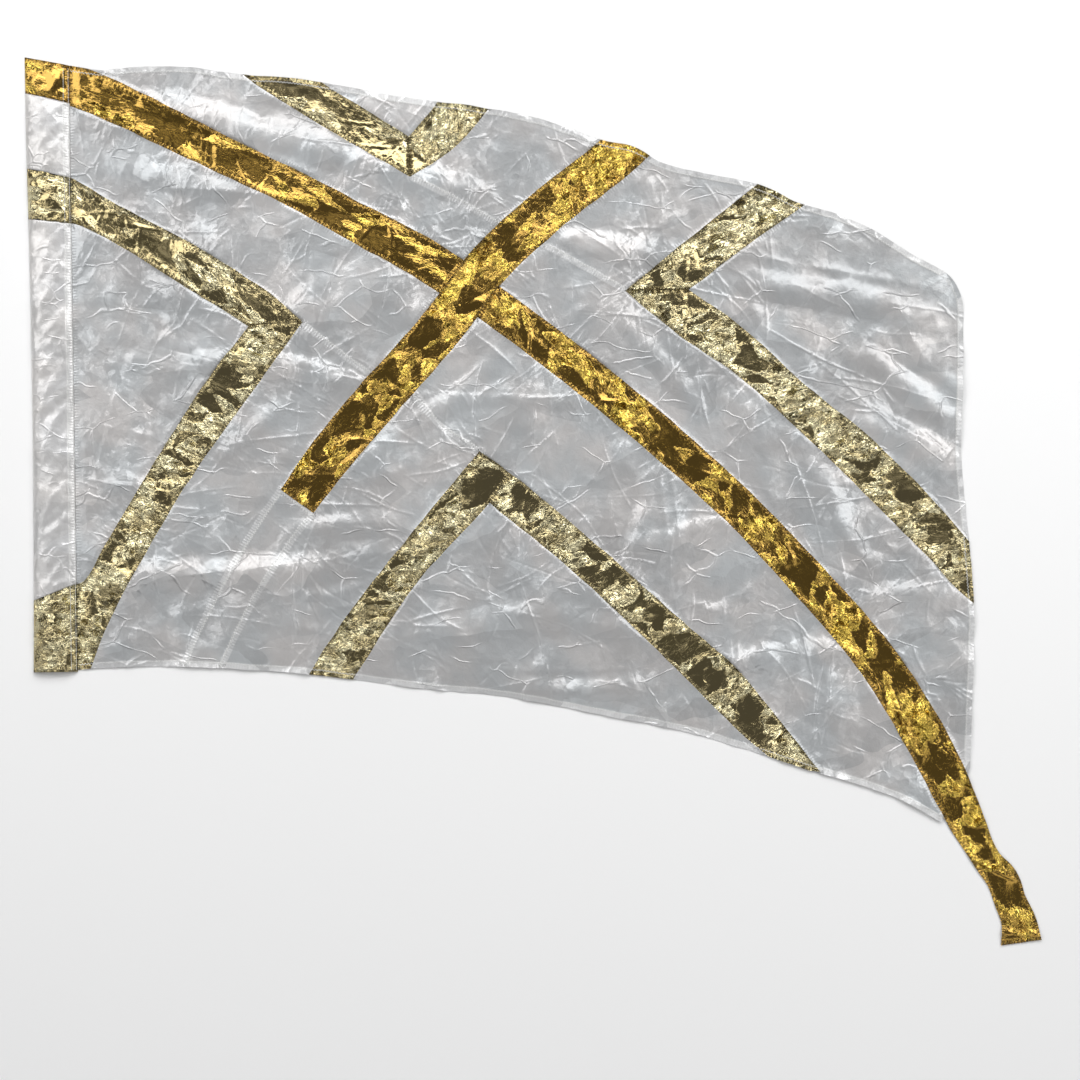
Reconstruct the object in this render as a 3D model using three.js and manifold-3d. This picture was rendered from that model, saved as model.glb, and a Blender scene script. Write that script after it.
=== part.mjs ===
// A flag pieced from white silk panels and metallic strips, with a pole sleeve down its
// hoist side. It lies face up on the floor, in the folds it keeps from being packed away.
// Millimetres, +Z up. The flag is drafted from the bottom corner of the sleeve: X runs along
// the flag, Y up the sleeve. The whole is centred on its own box at the end.
import * as THREE from 'three';
import { mergeVertices } from 'three/addons/utils/BufferGeometryUtils.js';
import Module from 'manifold-3d';

// Driving sizes of the cloth.
const clothThickness = 1.4;
const seamGap = 0.3;
const sleeveWidth = 66;
const darkStripWidth = 57;
const crossStripWidth = 66;

// Sizes of the pole sleeve: two layers of cloth, flat below and puffed above.
const sleeveLength = 916;
const sleeveHeight = 11;
const sleeveWall = 1.2;
const sleeveEdgeHeight = 2.6;
const sleeveTopSlope = -0.2;
const closedTopHeight = 4.5;
const closedTopThickness = 3;
const foldEdgeBow = 4;
const bowLength = 800;
const closingLength = 95;
const puffWave = 0.8;
const puffWaveLength = 230;

// How finely curves and sheets are stepped.
const curveStep = 26;
const gridStep = 44;
const foldStep = 27;
const gridMargin = 13;
const foldMargin = 7;

// Outer edge of the flag, beyond the sleeve, as drawn from corner to corner.
const topEdge = [
  [60, 904], [111, 896], [186, 900], [246, 898], [327, 885], [409, 878], [558, 849], [677, 832],
  [766, 813], [855, 781], [908, 769], [951, 744], [1092, 710], [1151, 682], [1211, 663], [1263, 639],
  [1314, 605], [1370, 572], [1389, 541], [1393, 512],
];
const flyEdge = [
  [1393, 512], [1390, 415], [1386, 303], [1392, 221], [1401, 102], [1401, 27], [1397, -62], [1392, -163],
];
const bottomEdge = [
  [1348, -243], [1287, -208], [1221, -183], [1154, -163], [1065, -132], [976, -104], [842, -75],
  [709, -48], [575, -32], [411, -9], [307, 0], [195, 6], [98, 5], [60, 2],
];

// Strips of even width: the middle line, and the width at each section.
const longStripUpper = [
  { x: -15, y: 900, width: 60 }, { x: 96, y: 864, width: 61 }, { x: 229, y: 799, width: darkStripWidth },
  { x: 318, y: 754, width: 54 }, { x: 407, y: 710, width: 54 }, { x: 490, y: 663, width: 58 },
  { x: 584, y: 611, width: 61 }, { x: 660, y: 561, width: 60 },
];
const longStripLower = [
  { x: 660, y: 561, width: 60 }, { x: 687, y: 541, width: darkStripWidth },
  { x: 811, y: 445, width: darkStripWidth }, { x: 932, y: 343, width: darkStripWidth },
  { x: 1049, y: 235, width: 56 }, { x: 1155, y: 121, width: 58 }, { x: 1258, y: -3, width: 61 },
  { x: 1336, y: -134, width: 64 }, { x: 1372, y: -211, width: 58 }, { x: 1391, y: -253, width: 51 },
  { x: 1416, y: -301, width: 41 }, { x: 1439, y: -331, width: 49 }, { x: 1449, y: -361, width: 47 },
  { x: 1461, y: -391, width: 52 }, { x: 1465, y: -424, width: 61 },
];
const crossStrip = [
  { x: 915, y: 788, width: crossStripWidth }, { x: 873, y: 751, width: crossStripWidth },
  { x: 778, y: 679, width: crossStripWidth }, { x: 689, y: 599, width: crossStripWidth },
  { x: 610, y: 499, width: crossStripWidth }, { x: 524, y: 405, width: 68 },
  { x: 445, y: 314, width: crossStripWidth }, { x: 396, y: 249, width: 60 },
];
const footStrip = [
  { x: 396, y: 249, width: 60 }, { x: 371, y: 216, width: 58 }, { x: 306, y: 114, width: 53 },
  { x: 253, y: 9, width: 53 }, { x: 243, y: -14, width: 53 },
];

// Chevrons: each arm runs from the tips outwards, past the edge of the flag.
const chevrons = [
  {
    name: 'chevron_top', outerTip: [572, 729], innerTip: [570, 790],
    arms: [
      {
        name: 'long',
        outer: [[408, 828], [327, 883], [296, 910]],
        inner: [[513, 827], [454, 864], [400, 905]],
      },
      { name: 'short', outer: [[639, 773], [687, 826], [702, 850]], inner: [[608, 833], [628, 860]] },
    ],
  },
  {
    name: 'chevron_left', outerTip: [408, 516], innerTip: [328, 511],
    arms: [
      {
        name: 'upper',
        outer: [[360, 559], [233, 642], [141, 691], [70, 734], [50, 742]],
        inner: [[235, 570], [126, 640], [69, 667], [50, 669]],
      },
      {
        name: 'lower',
        outer: [[344, 429], [288, 355], [220, 258], [165, 166], [117, 80], [85, 5], [78, -12]],
        inner: [[267, 434], [218, 362], [159, 269], [104, 179], [76, 134], [50, 126], [50, -12]],
      },
    ],
  },
  {
    name: 'chevron_right', outerTip: [889, 555], innerTip: [984, 555],
    arms: [
      {
        name: 'upper',
        outer: [[948, 602], [1062, 691], [1088, 711], [1112, 731]],
        inner: [[1075, 622], [1154, 676], [1178, 694]],
      },
      {
        name: 'lower',
        outer: [[970, 487], [1058, 424], [1173, 317], [1248, 241], [1345, 140], [1378, 102], [1412, 74]],
        inner: [[1061, 500], [1159, 408], [1249, 333], [1346, 234], [1392, 179], [1412, 156]],
      },
    ],
  },
];
// The bottom chevron isn't mitred: its left arm runs through to the tip and the right arm
// is sewn against it.
const bottomChevronLeft = {
  outer: [[669, 320], [569, 203], [457, 63], [413, -4], [404, -20]],
  inner: [[715, 285], [683, 243], [571, 123], [521, 51], [478, -14], [466, -34]],
};
const bottomChevronRight = {
  outer: [[669, 320], [722, 280], [839, 180], [952, 76], [1046, -9], [1100, -75], [1169, -165]],
  inner: [[660, 270], [683, 243], [785, 157], [876, 72], [961, -13], [1055, -109], [1092, -141], [1110, -160]],
};

// Seams that join silk to silk.
const silkSeams = [
  [[572, 729], [630, 700], [704, 657], [774, 623], [894, 553]],
  [[404, 516], [507, 437], [568, 403], [612, 358], [675, 315]],
];

// Main folds: the line along the crest, its height and how far each side slopes down.
const folds = [
  { crest: [[171, 857], [319, 810], [467, 764], [601, 724], [705, 696]], height: 7, reach: 26 },
  { crest: [[771, 655], [853, 624], [912, 608], [1001, 596]], height: 6, reach: 24 },
  { crest: [[90, 762], [258, 722], [451, 689]], height: 5, reach: 24 },
  { crest: [[90, 467], [209, 453], [299, 458], [403, 447], [507, 425]], height: 5, reach: 20 },
  { crest: [[581, 409], [730, 401], [909, 389]], height: 4, reach: 20 },
  { crest: [[90, 300], [169, 273], [274, 267]], height: 4.5, reach: 20 },
  { crest: [[90, 130], [190, 142], [309, 144], [443, 151], [518, 165]], height: 7, reach: 24 },
  { crest: [[370, 208], [474, 212], [549, 221]], height: 5, reach: 20 },
  { crest: [[546, 40], [665, 60], [785, 69], [904, 34]], height: 4, reach: 24 },
  { crest: [[664, -25], [798, -40], [932, -29]], height: 5, reach: 20 },
  { crest: [[985, 50], [1046, 92], [1106, 139]], height: 7, reach: 22 },
  { crest: [[992, -10], [1082, -1], [1200, 23]], height: 6, reach: 24 },
  { crest: [[890, 170], [980, 197], [1080, 223]], height: 5, reach: 20 },
  { crest: [[1040, 570], [1179, 545], [1268, 528], [1372, 492]], height: 7, reach: 26 },
  { crest: [[1240, 465], [1304, 409], [1370, 355]], height: 8, reach: 22 },
  { crest: [[1225, 360], [1310, 327], [1375, 280]], height: 7, reach: 24 },
  { crest: [[866, 527], [925, 466], [983, 391], [1005, 340]], height: 5, reach: 20 },
  { crest: [[1146, 329], [1190, 239], [1233, 149]], height: 4, reach: 22 },
  { crest: [[445, 280], [535, 338], [626, 396], [731, 491]], height: 5, reach: 22 },
  { crest: [[237, 283], [312, 341], [402, 407]], height: 5, reach: 20 },
  { crest: [[1217, 80], [1292, 98], [1380, 90]], height: 5, reach: 20 },
  { crest: [[1385, -296], [1425, -316], [1466, -334]], height: 10, reach: 17 },
  { crest: [[1425, -410], [1462, -411], [1500, -416]], height: 6, reach: 11 },
];

// A point inside each silk panel, which tells the panels apart.
const silkPanels = {
  panel_top_left: [408, 772],
  panel_top_notch: [557, 838],
  panel_top_middle: [735, 767],
  panel_top_right: [883, 661],
  panel_fly_corner: [1224, 537],
  panel_fly_long: [851, 497],
  panel_hoist_upper: [331, 654],
  panel_hoist_corner: [135, 478],
  panel_hoist_lower: [327, 341],
  panel_foot_strip: [316, 125],
  panel_foot_middle: [504, 234],
  panel_foot_notch: [725, 67],
  panel_foot_long: [789, 364],
};

// Sections of the sleeve, from the foot up. A joint crosses the sleeve at its height on the
// fold side and slopes from there.
const sleeveSections = [
  { name: 'sleeve_foot', cloth: 'pale', top: { y: 106, slope: 0.375 } },
  { name: 'sleeve_long', cloth: 'silk', top: { y: 674.5, slope: -0.11 } },
  { name: 'sleeve_band', cloth: 'pale', top: { y: 750, slope: -0.22 } },
  { name: 'sleeve_upper', cloth: 'silk', top: { y: 862, slope: -0.235 } },
  { name: 'sleeve_corner', cloth: 'dark', top: { y: sleeveLength, slope: sleeveTopSlope }, closed: true },
];

const cloths = {
  silk: new THREE.MeshStandardMaterial({ color: '#d4d6da', roughness: 0.45, metalness: 0.0 }),
  dark: new THREE.MeshStandardMaterial({ color: '#c8941e', roughness: 0.25, metalness: 0.9 }),
  pale: new THREE.MeshStandardMaterial({ color: '#d6cf9a', roughness: 0.25, metalness: 0.9 }),
};

const wasm = await Module();
wasm.setup();

// Points at even steps along a smooth line through the given ones.
function smoothLine(points, step = curveStep) {
  const path = new THREE.CatmullRomCurve3(points.map(([x, y]) => new THREE.Vector3(x, y, 0)));
  return path.getSpacedPoints(Math.max(1, Math.ceil(path.getLength() / step))).map((p) => [p.x, p.y]);
}

// Outline of a strip that follows its middle line. The width rides as the third coordinate.
function stripOutline(sections, step = curveStep) {
  const path = new THREE.CatmullRomCurve3(sections.map((row) => new THREE.Vector3(row.x, row.y, row.width)));
  const steps = Math.ceil(path.getLength() / step);
  const left = [];
  const right = [];
  for (let i = 0; i <= steps; i += 1) {
    const p = path.getPointAt(i / steps);
    const along = path.getTangentAt(i / steps);
    const across = new THREE.Vector2(-along.y, along.x).setLength(p.z / 2);
    left.push([p.x + across.x, p.y + across.y]);
    right.push([p.x - across.x, p.y - across.y]);
  }
  return left.concat(right.reverse());
}

// Outline of a chevron's arm, from its two long edges.
function armOutline(outer, inner) {
  return smoothLine(outer).concat(smoothLine(inner).reverse());
}

const signedArea = (outline) => THREE.ShapeUtils.area(outline.map(([x, y]) => new THREE.Vector2(x, y)));

// The same outline, moved outwards by a distance all round.
function grown(outline, distance) {
  const turn = Math.sign(signedArea(outline));
  const count = outline.length;
  return outline.map(([x, y], i) => {
    const before = outline[(i + count - 1) % count];
    const after = outline[(i + 1) % count];
    const a = new THREE.Vector2(y - before[1], before[0] - x).normalize();
    const b = new THREE.Vector2(after[1] - y, x - after[0]).normalize();
    const reach = (turn * distance) / Math.max(0.3, 1 + a.dot(b));
    return [x + (a.x + b.x) * reach, y + (a.y + b.y) * reach];
  });
}

// A flat slab one millimetre thick with the given outline, ready to be cut.
function slab(outline) {
  const shape = new THREE.Shape(outline.map(([x, y]) => new THREE.Vector2(x, y)));
  const geometry = new THREE.ExtrudeGeometry(shape, { depth: 1, bevelEnabled: false });
  geometry.deleteAttribute('normal');
  geometry.deleteAttribute('uv');
  const merged = mergeVertices(geometry, 1e-4);
  return new wasm.Manifold(new wasm.Mesh({
    numProp: 3,
    vertProperties: merged.attributes.position.array,
    triVerts: Uint32Array.from(merged.index.array),
  }));
}

const isNear = (a, b, distance) => Math.hypot(a[0] - b[0], a[1] - b[1]) < distance;

// The outline of a slab, read from the edges that only one of its top faces has.
function outlineOf(solid) {
  const mesh = solid.getMesh();
  const at = (v) => Array.from(mesh.vertProperties.slice(v * mesh.numProp, v * mesh.numProp + 3));
  const sides = new Set();
  for (let t = 0; t < mesh.triVerts.length; t += 3) {
    const face = Array.from(mesh.triVerts.slice(t, t + 3));
    if (face.every((v) => at(v)[2] > 0.5)) {
      face.forEach((v, k) => {
        const w = face[(k + 1) % 3];
        if (!sides.delete(`${w} ${v}`)) sides.add(`${v} ${w}`);
      });
    }
  }
  const next = new Map([...sides].map((side) => side.split(' ').map(Number)));
  const start = next.keys().next().value;
  const loop = [start];
  while (next.get(loop[loop.length - 1]) !== start) loop.push(next.get(loop[loop.length - 1]));
  const tiny = 0.02;
  return loop.map((v) => at(v).slice(0, 2)).filter((p, i, all) => !isNear(p, all[(i + 1) % all.length], tiny));
}

// Splits the long sides of an outline, so that it can follow the folds.
function stepped(outline, step = curveStep) {
  return outline.flatMap((p, i) => {
    const q = outline[(i + 1) % outline.length];
    const parts = Math.max(1, Math.round(Math.hypot(q[0] - p[0], q[1] - p[1]) / step));
    return Array.from({ length: parts }, (_, k) => [
      p[0] + ((q[0] - p[0]) * k) / parts,
      p[1] + ((q[1] - p[1]) * k) / parts,
    ]);
  });
}

function isInside([x, y], outline) {
  let inside = false;
  outline.forEach(([ax, ay], i) => {
    const [bx, by] = outline[(i + 1) % outline.length];
    if ((ay > y) !== (by > y) && x < ((bx - ax) * (y - ay)) / (by - ay) + ax) inside = !inside;
  });
  return inside;
}

// Distance from a point to a stretch of line, and how far along that stretch it falls.
function fromSegment([x, y], [ax, ay], [bx, by]) {
  const length = Math.hypot(bx - ax, by - ay);
  const along = ((x - ax) * (bx - ax) + (y - ay) * (by - ay)) / length;
  const held = Math.min(length, Math.max(0, along));
  const px = ax + ((bx - ax) * held) / length;
  const py = ay + ((by - ay) * held) / length;
  return { distance: Math.hypot(x - px, y - py), along: held, length };
}

const distanceToOutline = (p, outline) => Math.min(
  ...outline.map((a, i) => fromSegment(p, a, outline[(i + 1) % outline.length]).distance),
);

const foldLines = folds.map((fold) => ({ ...fold, line: smoothLine(fold.crest, foldStep) }));

// Height of the cloth's underside over the floor: nought where it lies flat.
function liftAt(point) {
  const lifts = foldLines.map(({ line, height, reach }) => {
    let nearest = { distance: Infinity };
    let walked = 0;
    line.slice(1).forEach((b, i) => {
      const hit = fromSegment(point, line[i], b);
      if (hit.distance < nearest.distance) nearest = { distance: hit.distance, place: walked + hit.along };
      walked += hit.length;
    });
    if (nearest.distance >= reach) return 0;
    const side = (1 - (nearest.distance / reach) ** 2) ** 2;
    return height * side * Math.sqrt(Math.max(0, Math.sin((Math.PI * nearest.place) / walked)));
  });
  return Math.max(0, ...lifts);
}

// Points inside an outline: rows along each fold first, then an even grid elsewhere.
function innerPoints(outline) {
  const points = [];
  const add = (p, margin, apart) => {
    const free = points.every((q) => !isNear(p, q, apart));
    if (free && isInside(p, outline) && distanceToOutline(p, outline) > margin) points.push(p);
  };
  foldLines.forEach(({ line, reach }) => {
    [0, -0.5, 0.5, -1, 1].forEach((share) => {
      line.forEach((p, i) => {
        const a = line[Math.max(0, i - 1)];
        const b = line[Math.min(line.length - 1, i + 1)];
        const across = new THREE.Vector2(a[1] - b[1], b[0] - a[0]).setLength(reach * share);
        add([p[0] + across.x, p[1] + across.y], foldMargin, reach * 0.4);
      });
    });
  });
  const xs = outline.map((p) => p[0]);
  const ys = outline.map((p) => p[1]);
  const rowStep = gridStep * Math.sin(Math.PI / 3);
  for (let row = 0; Math.min(...ys) + row * rowStep < Math.max(...ys); row += 1) {
    const shift = (row % 2) * 0.5 + 0.25;
    for (let x = Math.min(...xs) + shift * gridStep; x < Math.max(...xs); x += gridStep) {
      add([x, Math.min(...ys) + (row + 0.37) * rowStep], gridMargin, gridStep * 0.6);
    }
  }
  return points;
}

// Delaunay triangles of a set of points, each added inside the circles that it breaks.
function delaunay(points) {
  const far = 1e5;
  const all = points.concat([[-far, -far], [far, -far], [0, far]]);
  const circled = (a, b, c) => {
    const [ax, ay] = all[a];
    const bx = all[b][0] - ax;
    const by = all[b][1] - ay;
    const cx = all[c][0] - ax;
    const cy = all[c][1] - ay;
    const d = 2 * (bx * cy - by * cx);
    const ux = (cy * (bx * bx + by * by) - by * (cx * cx + cy * cy)) / d;
    const uy = (bx * (cx * cx + cy * cy) - cx * (bx * bx + by * by)) / d;
    return { corners: [a, b, c], x: ax + ux, y: ay + uy, square: ux * ux + uy * uy };
  };
  const n = points.length;
  let faces = [circled(n, n + 1, n + 2)];
  points.forEach(([x, y], p) => {
    const open = new Map();
    faces = faces.filter((face) => {
      if ((x - face.x) ** 2 + (y - face.y) ** 2 >= face.square) return true;
      face.corners.forEach((v, k) => {
        const w = face.corners[(k + 1) % 3];
        if (!open.delete(`${w} ${v}`)) open.set(`${v} ${w}`, [v, w]);
      });
      return false;
    });
    open.forEach(([v, w]) => faces.push(circled(v, w, p)));
  });
  return faces.map((face) => face.corners).filter((corners) => corners.every((v) => v < n));
}

// Triangles that fill an outline. Where a side of it isn't among them, that side is halved.
function filled(outline) {
  let rim = stepped(outline);
  const inner = innerPoints(rim);
  for (let tries = 0; tries < 8; tries += 1) {
    const points = rim.concat(inner);
    const middle = ([a, b, c]) => [0, 1].map((k) => (points[a][k] + points[b][k] + points[c][k]) / 3);
    const faces = delaunay(points).filter((face) => isInside(middle(face), rim));
    const sides = new Set(faces.flatMap((face) => face.map((v, k) => `${v} ${face[(k + 1) % 3]}`)));
    const missing = rim.map((_, i) => i).filter((i) => !sides.has(`${i} ${(i + 1) % rim.length}`));
    if (missing.length === 0) return { points, faces, rimCount: rim.length };
    rim = rim.flatMap((p, i) => {
      const q = rim[(i + 1) % rim.length];
      return missing.includes(i) ? [p, [(p[0] + q[0]) / 2, (p[1] + q[1]) / 2]] : [p];
    });
  }
  throw new Error('the outline could not be filled');
}

function geometryOf(vertices, triangles) {
  const geometry = new THREE.BufferGeometry();
  geometry.setAttribute('position', new THREE.Float32BufferAttribute(vertices.flat(), 3));
  geometry.setIndex(triangles.flat());
  geometry.computeVertexNormals();
  return geometry;
}

// A piece of cloth with the given outline, lying in the folds.
function sheet(outline) {
  const { points, faces, rimCount } = filled(outline);
  const count = points.length;
  const lifts = points.map(liftAt);
  const under = points.map(([x, y], i) => [x, y, lifts[i]]);
  const over = points.map(([x, y], i) => [x, y, lifts[i] + clothThickness]);
  const triangles = faces.flatMap(([a, b, c]) => [[c, b, a], [a + count, b + count, c + count]]);
  for (let i = 0; i < rimCount; i += 1) {
    const j = (i + 1) % rimCount;
    triangles.push([i, j, j + count], [i, j + count, i + count]);
  }
  return geometryOf(under.concat(over), triangles);
}

// The sleeve's outer height over the floor, across it and along it.
function sleeveTopAt(share, y) {
  const full = sleeveHeight + puffWave * Math.sin((2 * Math.PI * y) / puffWaveLength);
  const closing = THREE.MathUtils.smoothstep(y, sleeveLength - closingLength, sleeveLength);
  const crown = THREE.MathUtils.lerp(full, closedTopHeight, closing);
  return sleeveEdgeHeight + (crown - sleeveEdgeHeight) * Math.sqrt(Math.max(0, Math.sin(Math.PI * share)));
}

// One ring of the sleeve at a height along it that may slope across, outside or inside.
function sleeveRing(place, wall) {
  const shares = [0, 0.1, 0.28, 0.5, 0.72, 0.9, 1];
  const inset = wall > 0 ? 0.06 : 0;
  const row = shares.map((share) => inset + (1 - 2 * inset) * share);
  const foldEdge = foldEdgeBow * Math.max(0, Math.sin((Math.PI * place.y) / bowLength));
  const corner = (share, level) => {
    const x = foldEdge + (sleeveWidth - foldEdge) * share;
    const y = place.y + place.slope * x;
    return [x, y, level === 'floor' ? wall : Math.max(wall + 0.3, sleeveTopAt(share, y) - wall)];
  };
  const floor = row.map((share) => corner(share, 'floor'));
  const crown = row.map((share) => corner(share, 'crown'));
  return floor.concat(crown.reverse());
}

// One section of the sleeve, from one joint to the next: an open tube, or one closed at its top.
function sleeveTube(low, high, closed) {
  const steps = Math.max(2, Math.round((high.y - low.y) / 45));
  const places = Array.from({ length: steps + 1 }, (_, i) => ({
    y: THREE.MathUtils.lerp(low.y, high.y, i / steps),
    slope: THREE.MathUtils.lerp(low.slope, high.slope, i / steps),
  }));
  const innerPlaces = places.map((place, i) => (
    closed && i === steps ? { ...place, y: place.y - closedTopThickness } : place
  ));
  const rings = places.map((place) => sleeveRing(place, 0))
    .concat(innerPlaces.map((place) => sleeveRing(place, sleeveWall)));
  const size = rings[0].length;
  const triangles = [];
  const quad = (a, b, c, d) => triangles.push([c, b, a], [d, c, a]);
  const at = (ring, k) => ring * size + (k % size);
  const innerFirst = steps + 1;
  const innerLast = innerFirst + steps;
  for (let k = 0; k < size; k += 1) {
    for (let i = 0; i < steps; i += 1) {
      quad(at(i, k), at(i, k + 1), at(i + 1, k + 1), at(i + 1, k));
      const inner = innerFirst + i;
      quad(at(inner, k), at(inner + 1, k), at(inner + 1, k + 1), at(inner, k + 1));
    }
    quad(at(0, k + 1), at(0, k), at(innerFirst, k), at(innerFirst, k + 1));
    if (!closed) quad(at(steps, k), at(steps, k + 1), at(innerLast, k + 1), at(innerLast, k));
  }
  if (closed) {
    const cap = THREE.ShapeUtils.triangulateShape(rings[steps].map(([x, , z]) => new THREE.Vector2(x, z)), []);
    cap.forEach(([a, b, c]) => {
      triangles.push([at(steps, c), at(steps, b), at(steps, a)]);
      triangles.push([at(innerLast, a), at(innerLast, b), at(innerLast, c)]);
    });
  }
  return geometryOf(rings.flat(), triangles);
}

const flag = new THREE.Group();

function addPiece(name, geometry, cloth) {
  const mesh = new THREE.Mesh(geometry, cloths[cloth]);
  mesh.name = name;
  flag.add(mesh);
}

// The whole cloth beyond the sleeve, with the free tail of the long strip.
const seamLine = sleeveWidth + seamGap;
const field = slab(smoothLine(topEdge).concat(smoothLine(flyEdge).slice(1), smoothLine(bottomEdge)));
const hoistSide = slab([[-100, -500], [seamLine, -500], [seamLine, 1000], [-100, 1000]]);
const tail = slab(stripOutline(longStripLower));
const cloth = field.add(tail).subtract(hoistSide);

// Metallic strips in the order in which they are laid. Each keeps clear of those before it.
const strips = [
  { name: 'cross_strip', cloth: 'dark', outline: stripOutline(crossStrip) },
  { name: 'long_strip_upper', cloth: 'dark', outline: stripOutline(longStripUpper) },
  { name: 'long_strip_lower', cloth: 'dark', outline: stripOutline(longStripLower) },
  {
    name: 'chevron_bottom_left', cloth: 'pale',
    outline: armOutline(bottomChevronLeft.outer, bottomChevronLeft.inner),
  },
  {
    name: 'chevron_bottom_right', cloth: 'pale',
    outline: armOutline(bottomChevronRight.outer, bottomChevronRight.inner),
  },
];
chevrons.forEach(({ name, outerTip, innerTip, arms }) => arms.forEach((arm) => strips.push({
  name: `${name}_${arm.name}`,
  cloth: 'pale',
  outline: armOutline([outerTip, ...arm.outer], [innerTip, ...arm.inner]),
})));

let uncovered = cloth;
strips.forEach(({ name, cloth: kind, outline }) => {
  addPiece(name, sheet(outlineOf(uncovered.intersect(slab(outline)))), kind);
  uncovered = uncovered.subtract(slab(grown(outline, seamGap)));
});

// What is left is silk. It is cut along its own seams, and each panel is found by its point.
const asSections = (line) => line.map(([x, y]) => ({ x, y, width: seamGap }));
const footOutline = stripOutline(footStrip);
const seamed = silkSeams.reduce(
  (silk, line) => silk.subtract(slab(stripOutline(asSections(line)))),
  uncovered,
);
const footPanel = seamed.intersect(slab(footOutline));
const otherPanels = seamed.subtract(slab(grown(footOutline, seamGap))).decompose();
const silkOutlines = [footPanel, ...otherPanels].map(outlineOf);
Object.entries(silkPanels).forEach(([name, anchor]) => {
  const outline = silkOutlines.find((candidate) => isInside(anchor, candidate));
  addPiece(name, sheet(outline), 'silk');
});

// The pole sleeve, one tube for each kind of cloth that crosses it.
let low = { y: 0, slope: 0 };
sleeveSections.forEach(({ name, cloth: kind, top, closed = false }) => {
  addPiece(name, sleeveTube(low, top, closed), kind);
  low = { ...top, y: top.y + seamGap };
});

// Centred over the floor, so that the origin is under the middle of the flag's box.
const box = new THREE.Box3().setFromObject(flag);
flag.position.set(-(box.min.x + box.max.x) / 2, -(box.min.y + box.max.y) / 2, 0);

const group = new THREE.Group();
group.add(flag);

export default group;
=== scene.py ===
import math

import bpy
import numpy as np
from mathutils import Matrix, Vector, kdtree
from mathutils.bvhtree import BVHTree
from mathutils.geometry import delaunay_2d_cdt


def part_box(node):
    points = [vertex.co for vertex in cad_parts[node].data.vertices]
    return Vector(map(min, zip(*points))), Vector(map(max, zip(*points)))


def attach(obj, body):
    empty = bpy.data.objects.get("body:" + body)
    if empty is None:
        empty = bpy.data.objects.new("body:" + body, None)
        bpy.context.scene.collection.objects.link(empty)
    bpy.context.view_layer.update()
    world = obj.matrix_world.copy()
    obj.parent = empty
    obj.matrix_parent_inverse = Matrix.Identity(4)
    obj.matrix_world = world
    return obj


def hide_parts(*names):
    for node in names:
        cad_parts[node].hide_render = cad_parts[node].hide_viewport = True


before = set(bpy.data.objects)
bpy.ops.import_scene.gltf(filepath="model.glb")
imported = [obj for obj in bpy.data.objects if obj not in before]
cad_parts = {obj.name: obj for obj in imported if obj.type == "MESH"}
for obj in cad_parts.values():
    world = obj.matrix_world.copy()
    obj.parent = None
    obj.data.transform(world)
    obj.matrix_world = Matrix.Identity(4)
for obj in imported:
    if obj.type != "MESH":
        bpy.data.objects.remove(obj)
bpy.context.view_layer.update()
draftCorner = np.array(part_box("sleeve_foot")[0])  # the drafting's zero, in the frame's metres
mm = 0.001
bpy.context.scene.view_settings.view_transform = "Standard"  # colours as a plain photograph shows them
print("frame loaded")


def placed(x, y, z=0.0):
    return tuple(draftCorner + np.array([x, y, z]) * mm)


def added(name, data):
    obj = bpy.data.objects.new(name, data)
    bpy.context.scene.collection.objects.link(obj)
    return obj


# camera and light

picture = {
    "centre": (757, 186),   # what the picture is centred on
    "across": 1609,         # floor that shows from side to side
    "turn": -0.838,         # degrees, about the line of sight
    "height": 3750,
    "sensor": 36,
}


def makeCamera():
    data = bpy.data.cameras.new("camera")
    data.sensor_width = picture["sensor"]
    data.lens = picture["sensor"] * picture["height"] / picture["across"]
    camera = added("camera", data)
    camera.location = placed(*picture["centre"], picture["height"])
    camera.rotation_euler = (0, 0, math.radians(picture["turn"]))
    bpy.context.scene.camera = camera


studio = {
    "world": 0.135,         # the ceiling overhead, which the foil mirrors where it lies flat
    "floorSize": 14,
    "floorDrop": 0.0004,    # keeps the floor clear of the cloth's underside
    "floorColour": (0.94, 0.94, 0.94),
    "floorRoughness": 0.9,
    "lamps": [              # place in metres from the middle of the flag, size, radiance
        ((-2.3, 1.5, 2.4), (2.6, 2.1), 2.4),
        ((0.1, 2.7, 2.3), (3.2, 1.8), 3.7),
        ((2.5, 1.3, 2.4), (2.4, 2.2), 3.2),
        ((2.4, -1.6, 2.3), (2.4, 1.9), 0.9),
        ((-0.1, -2.8, 2.2), (3.2, 1.6), 0.75),
        ((-2.6, -1.3, 2.3), (2.2, 2.1), 0.8),
        ((-0.7, 1.1, 3.4), (0.8, 0.6), 0.5),
        ((1.1, 0.6, 3.5), (0.6, 0.6), 0.45),
    ],
}


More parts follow.
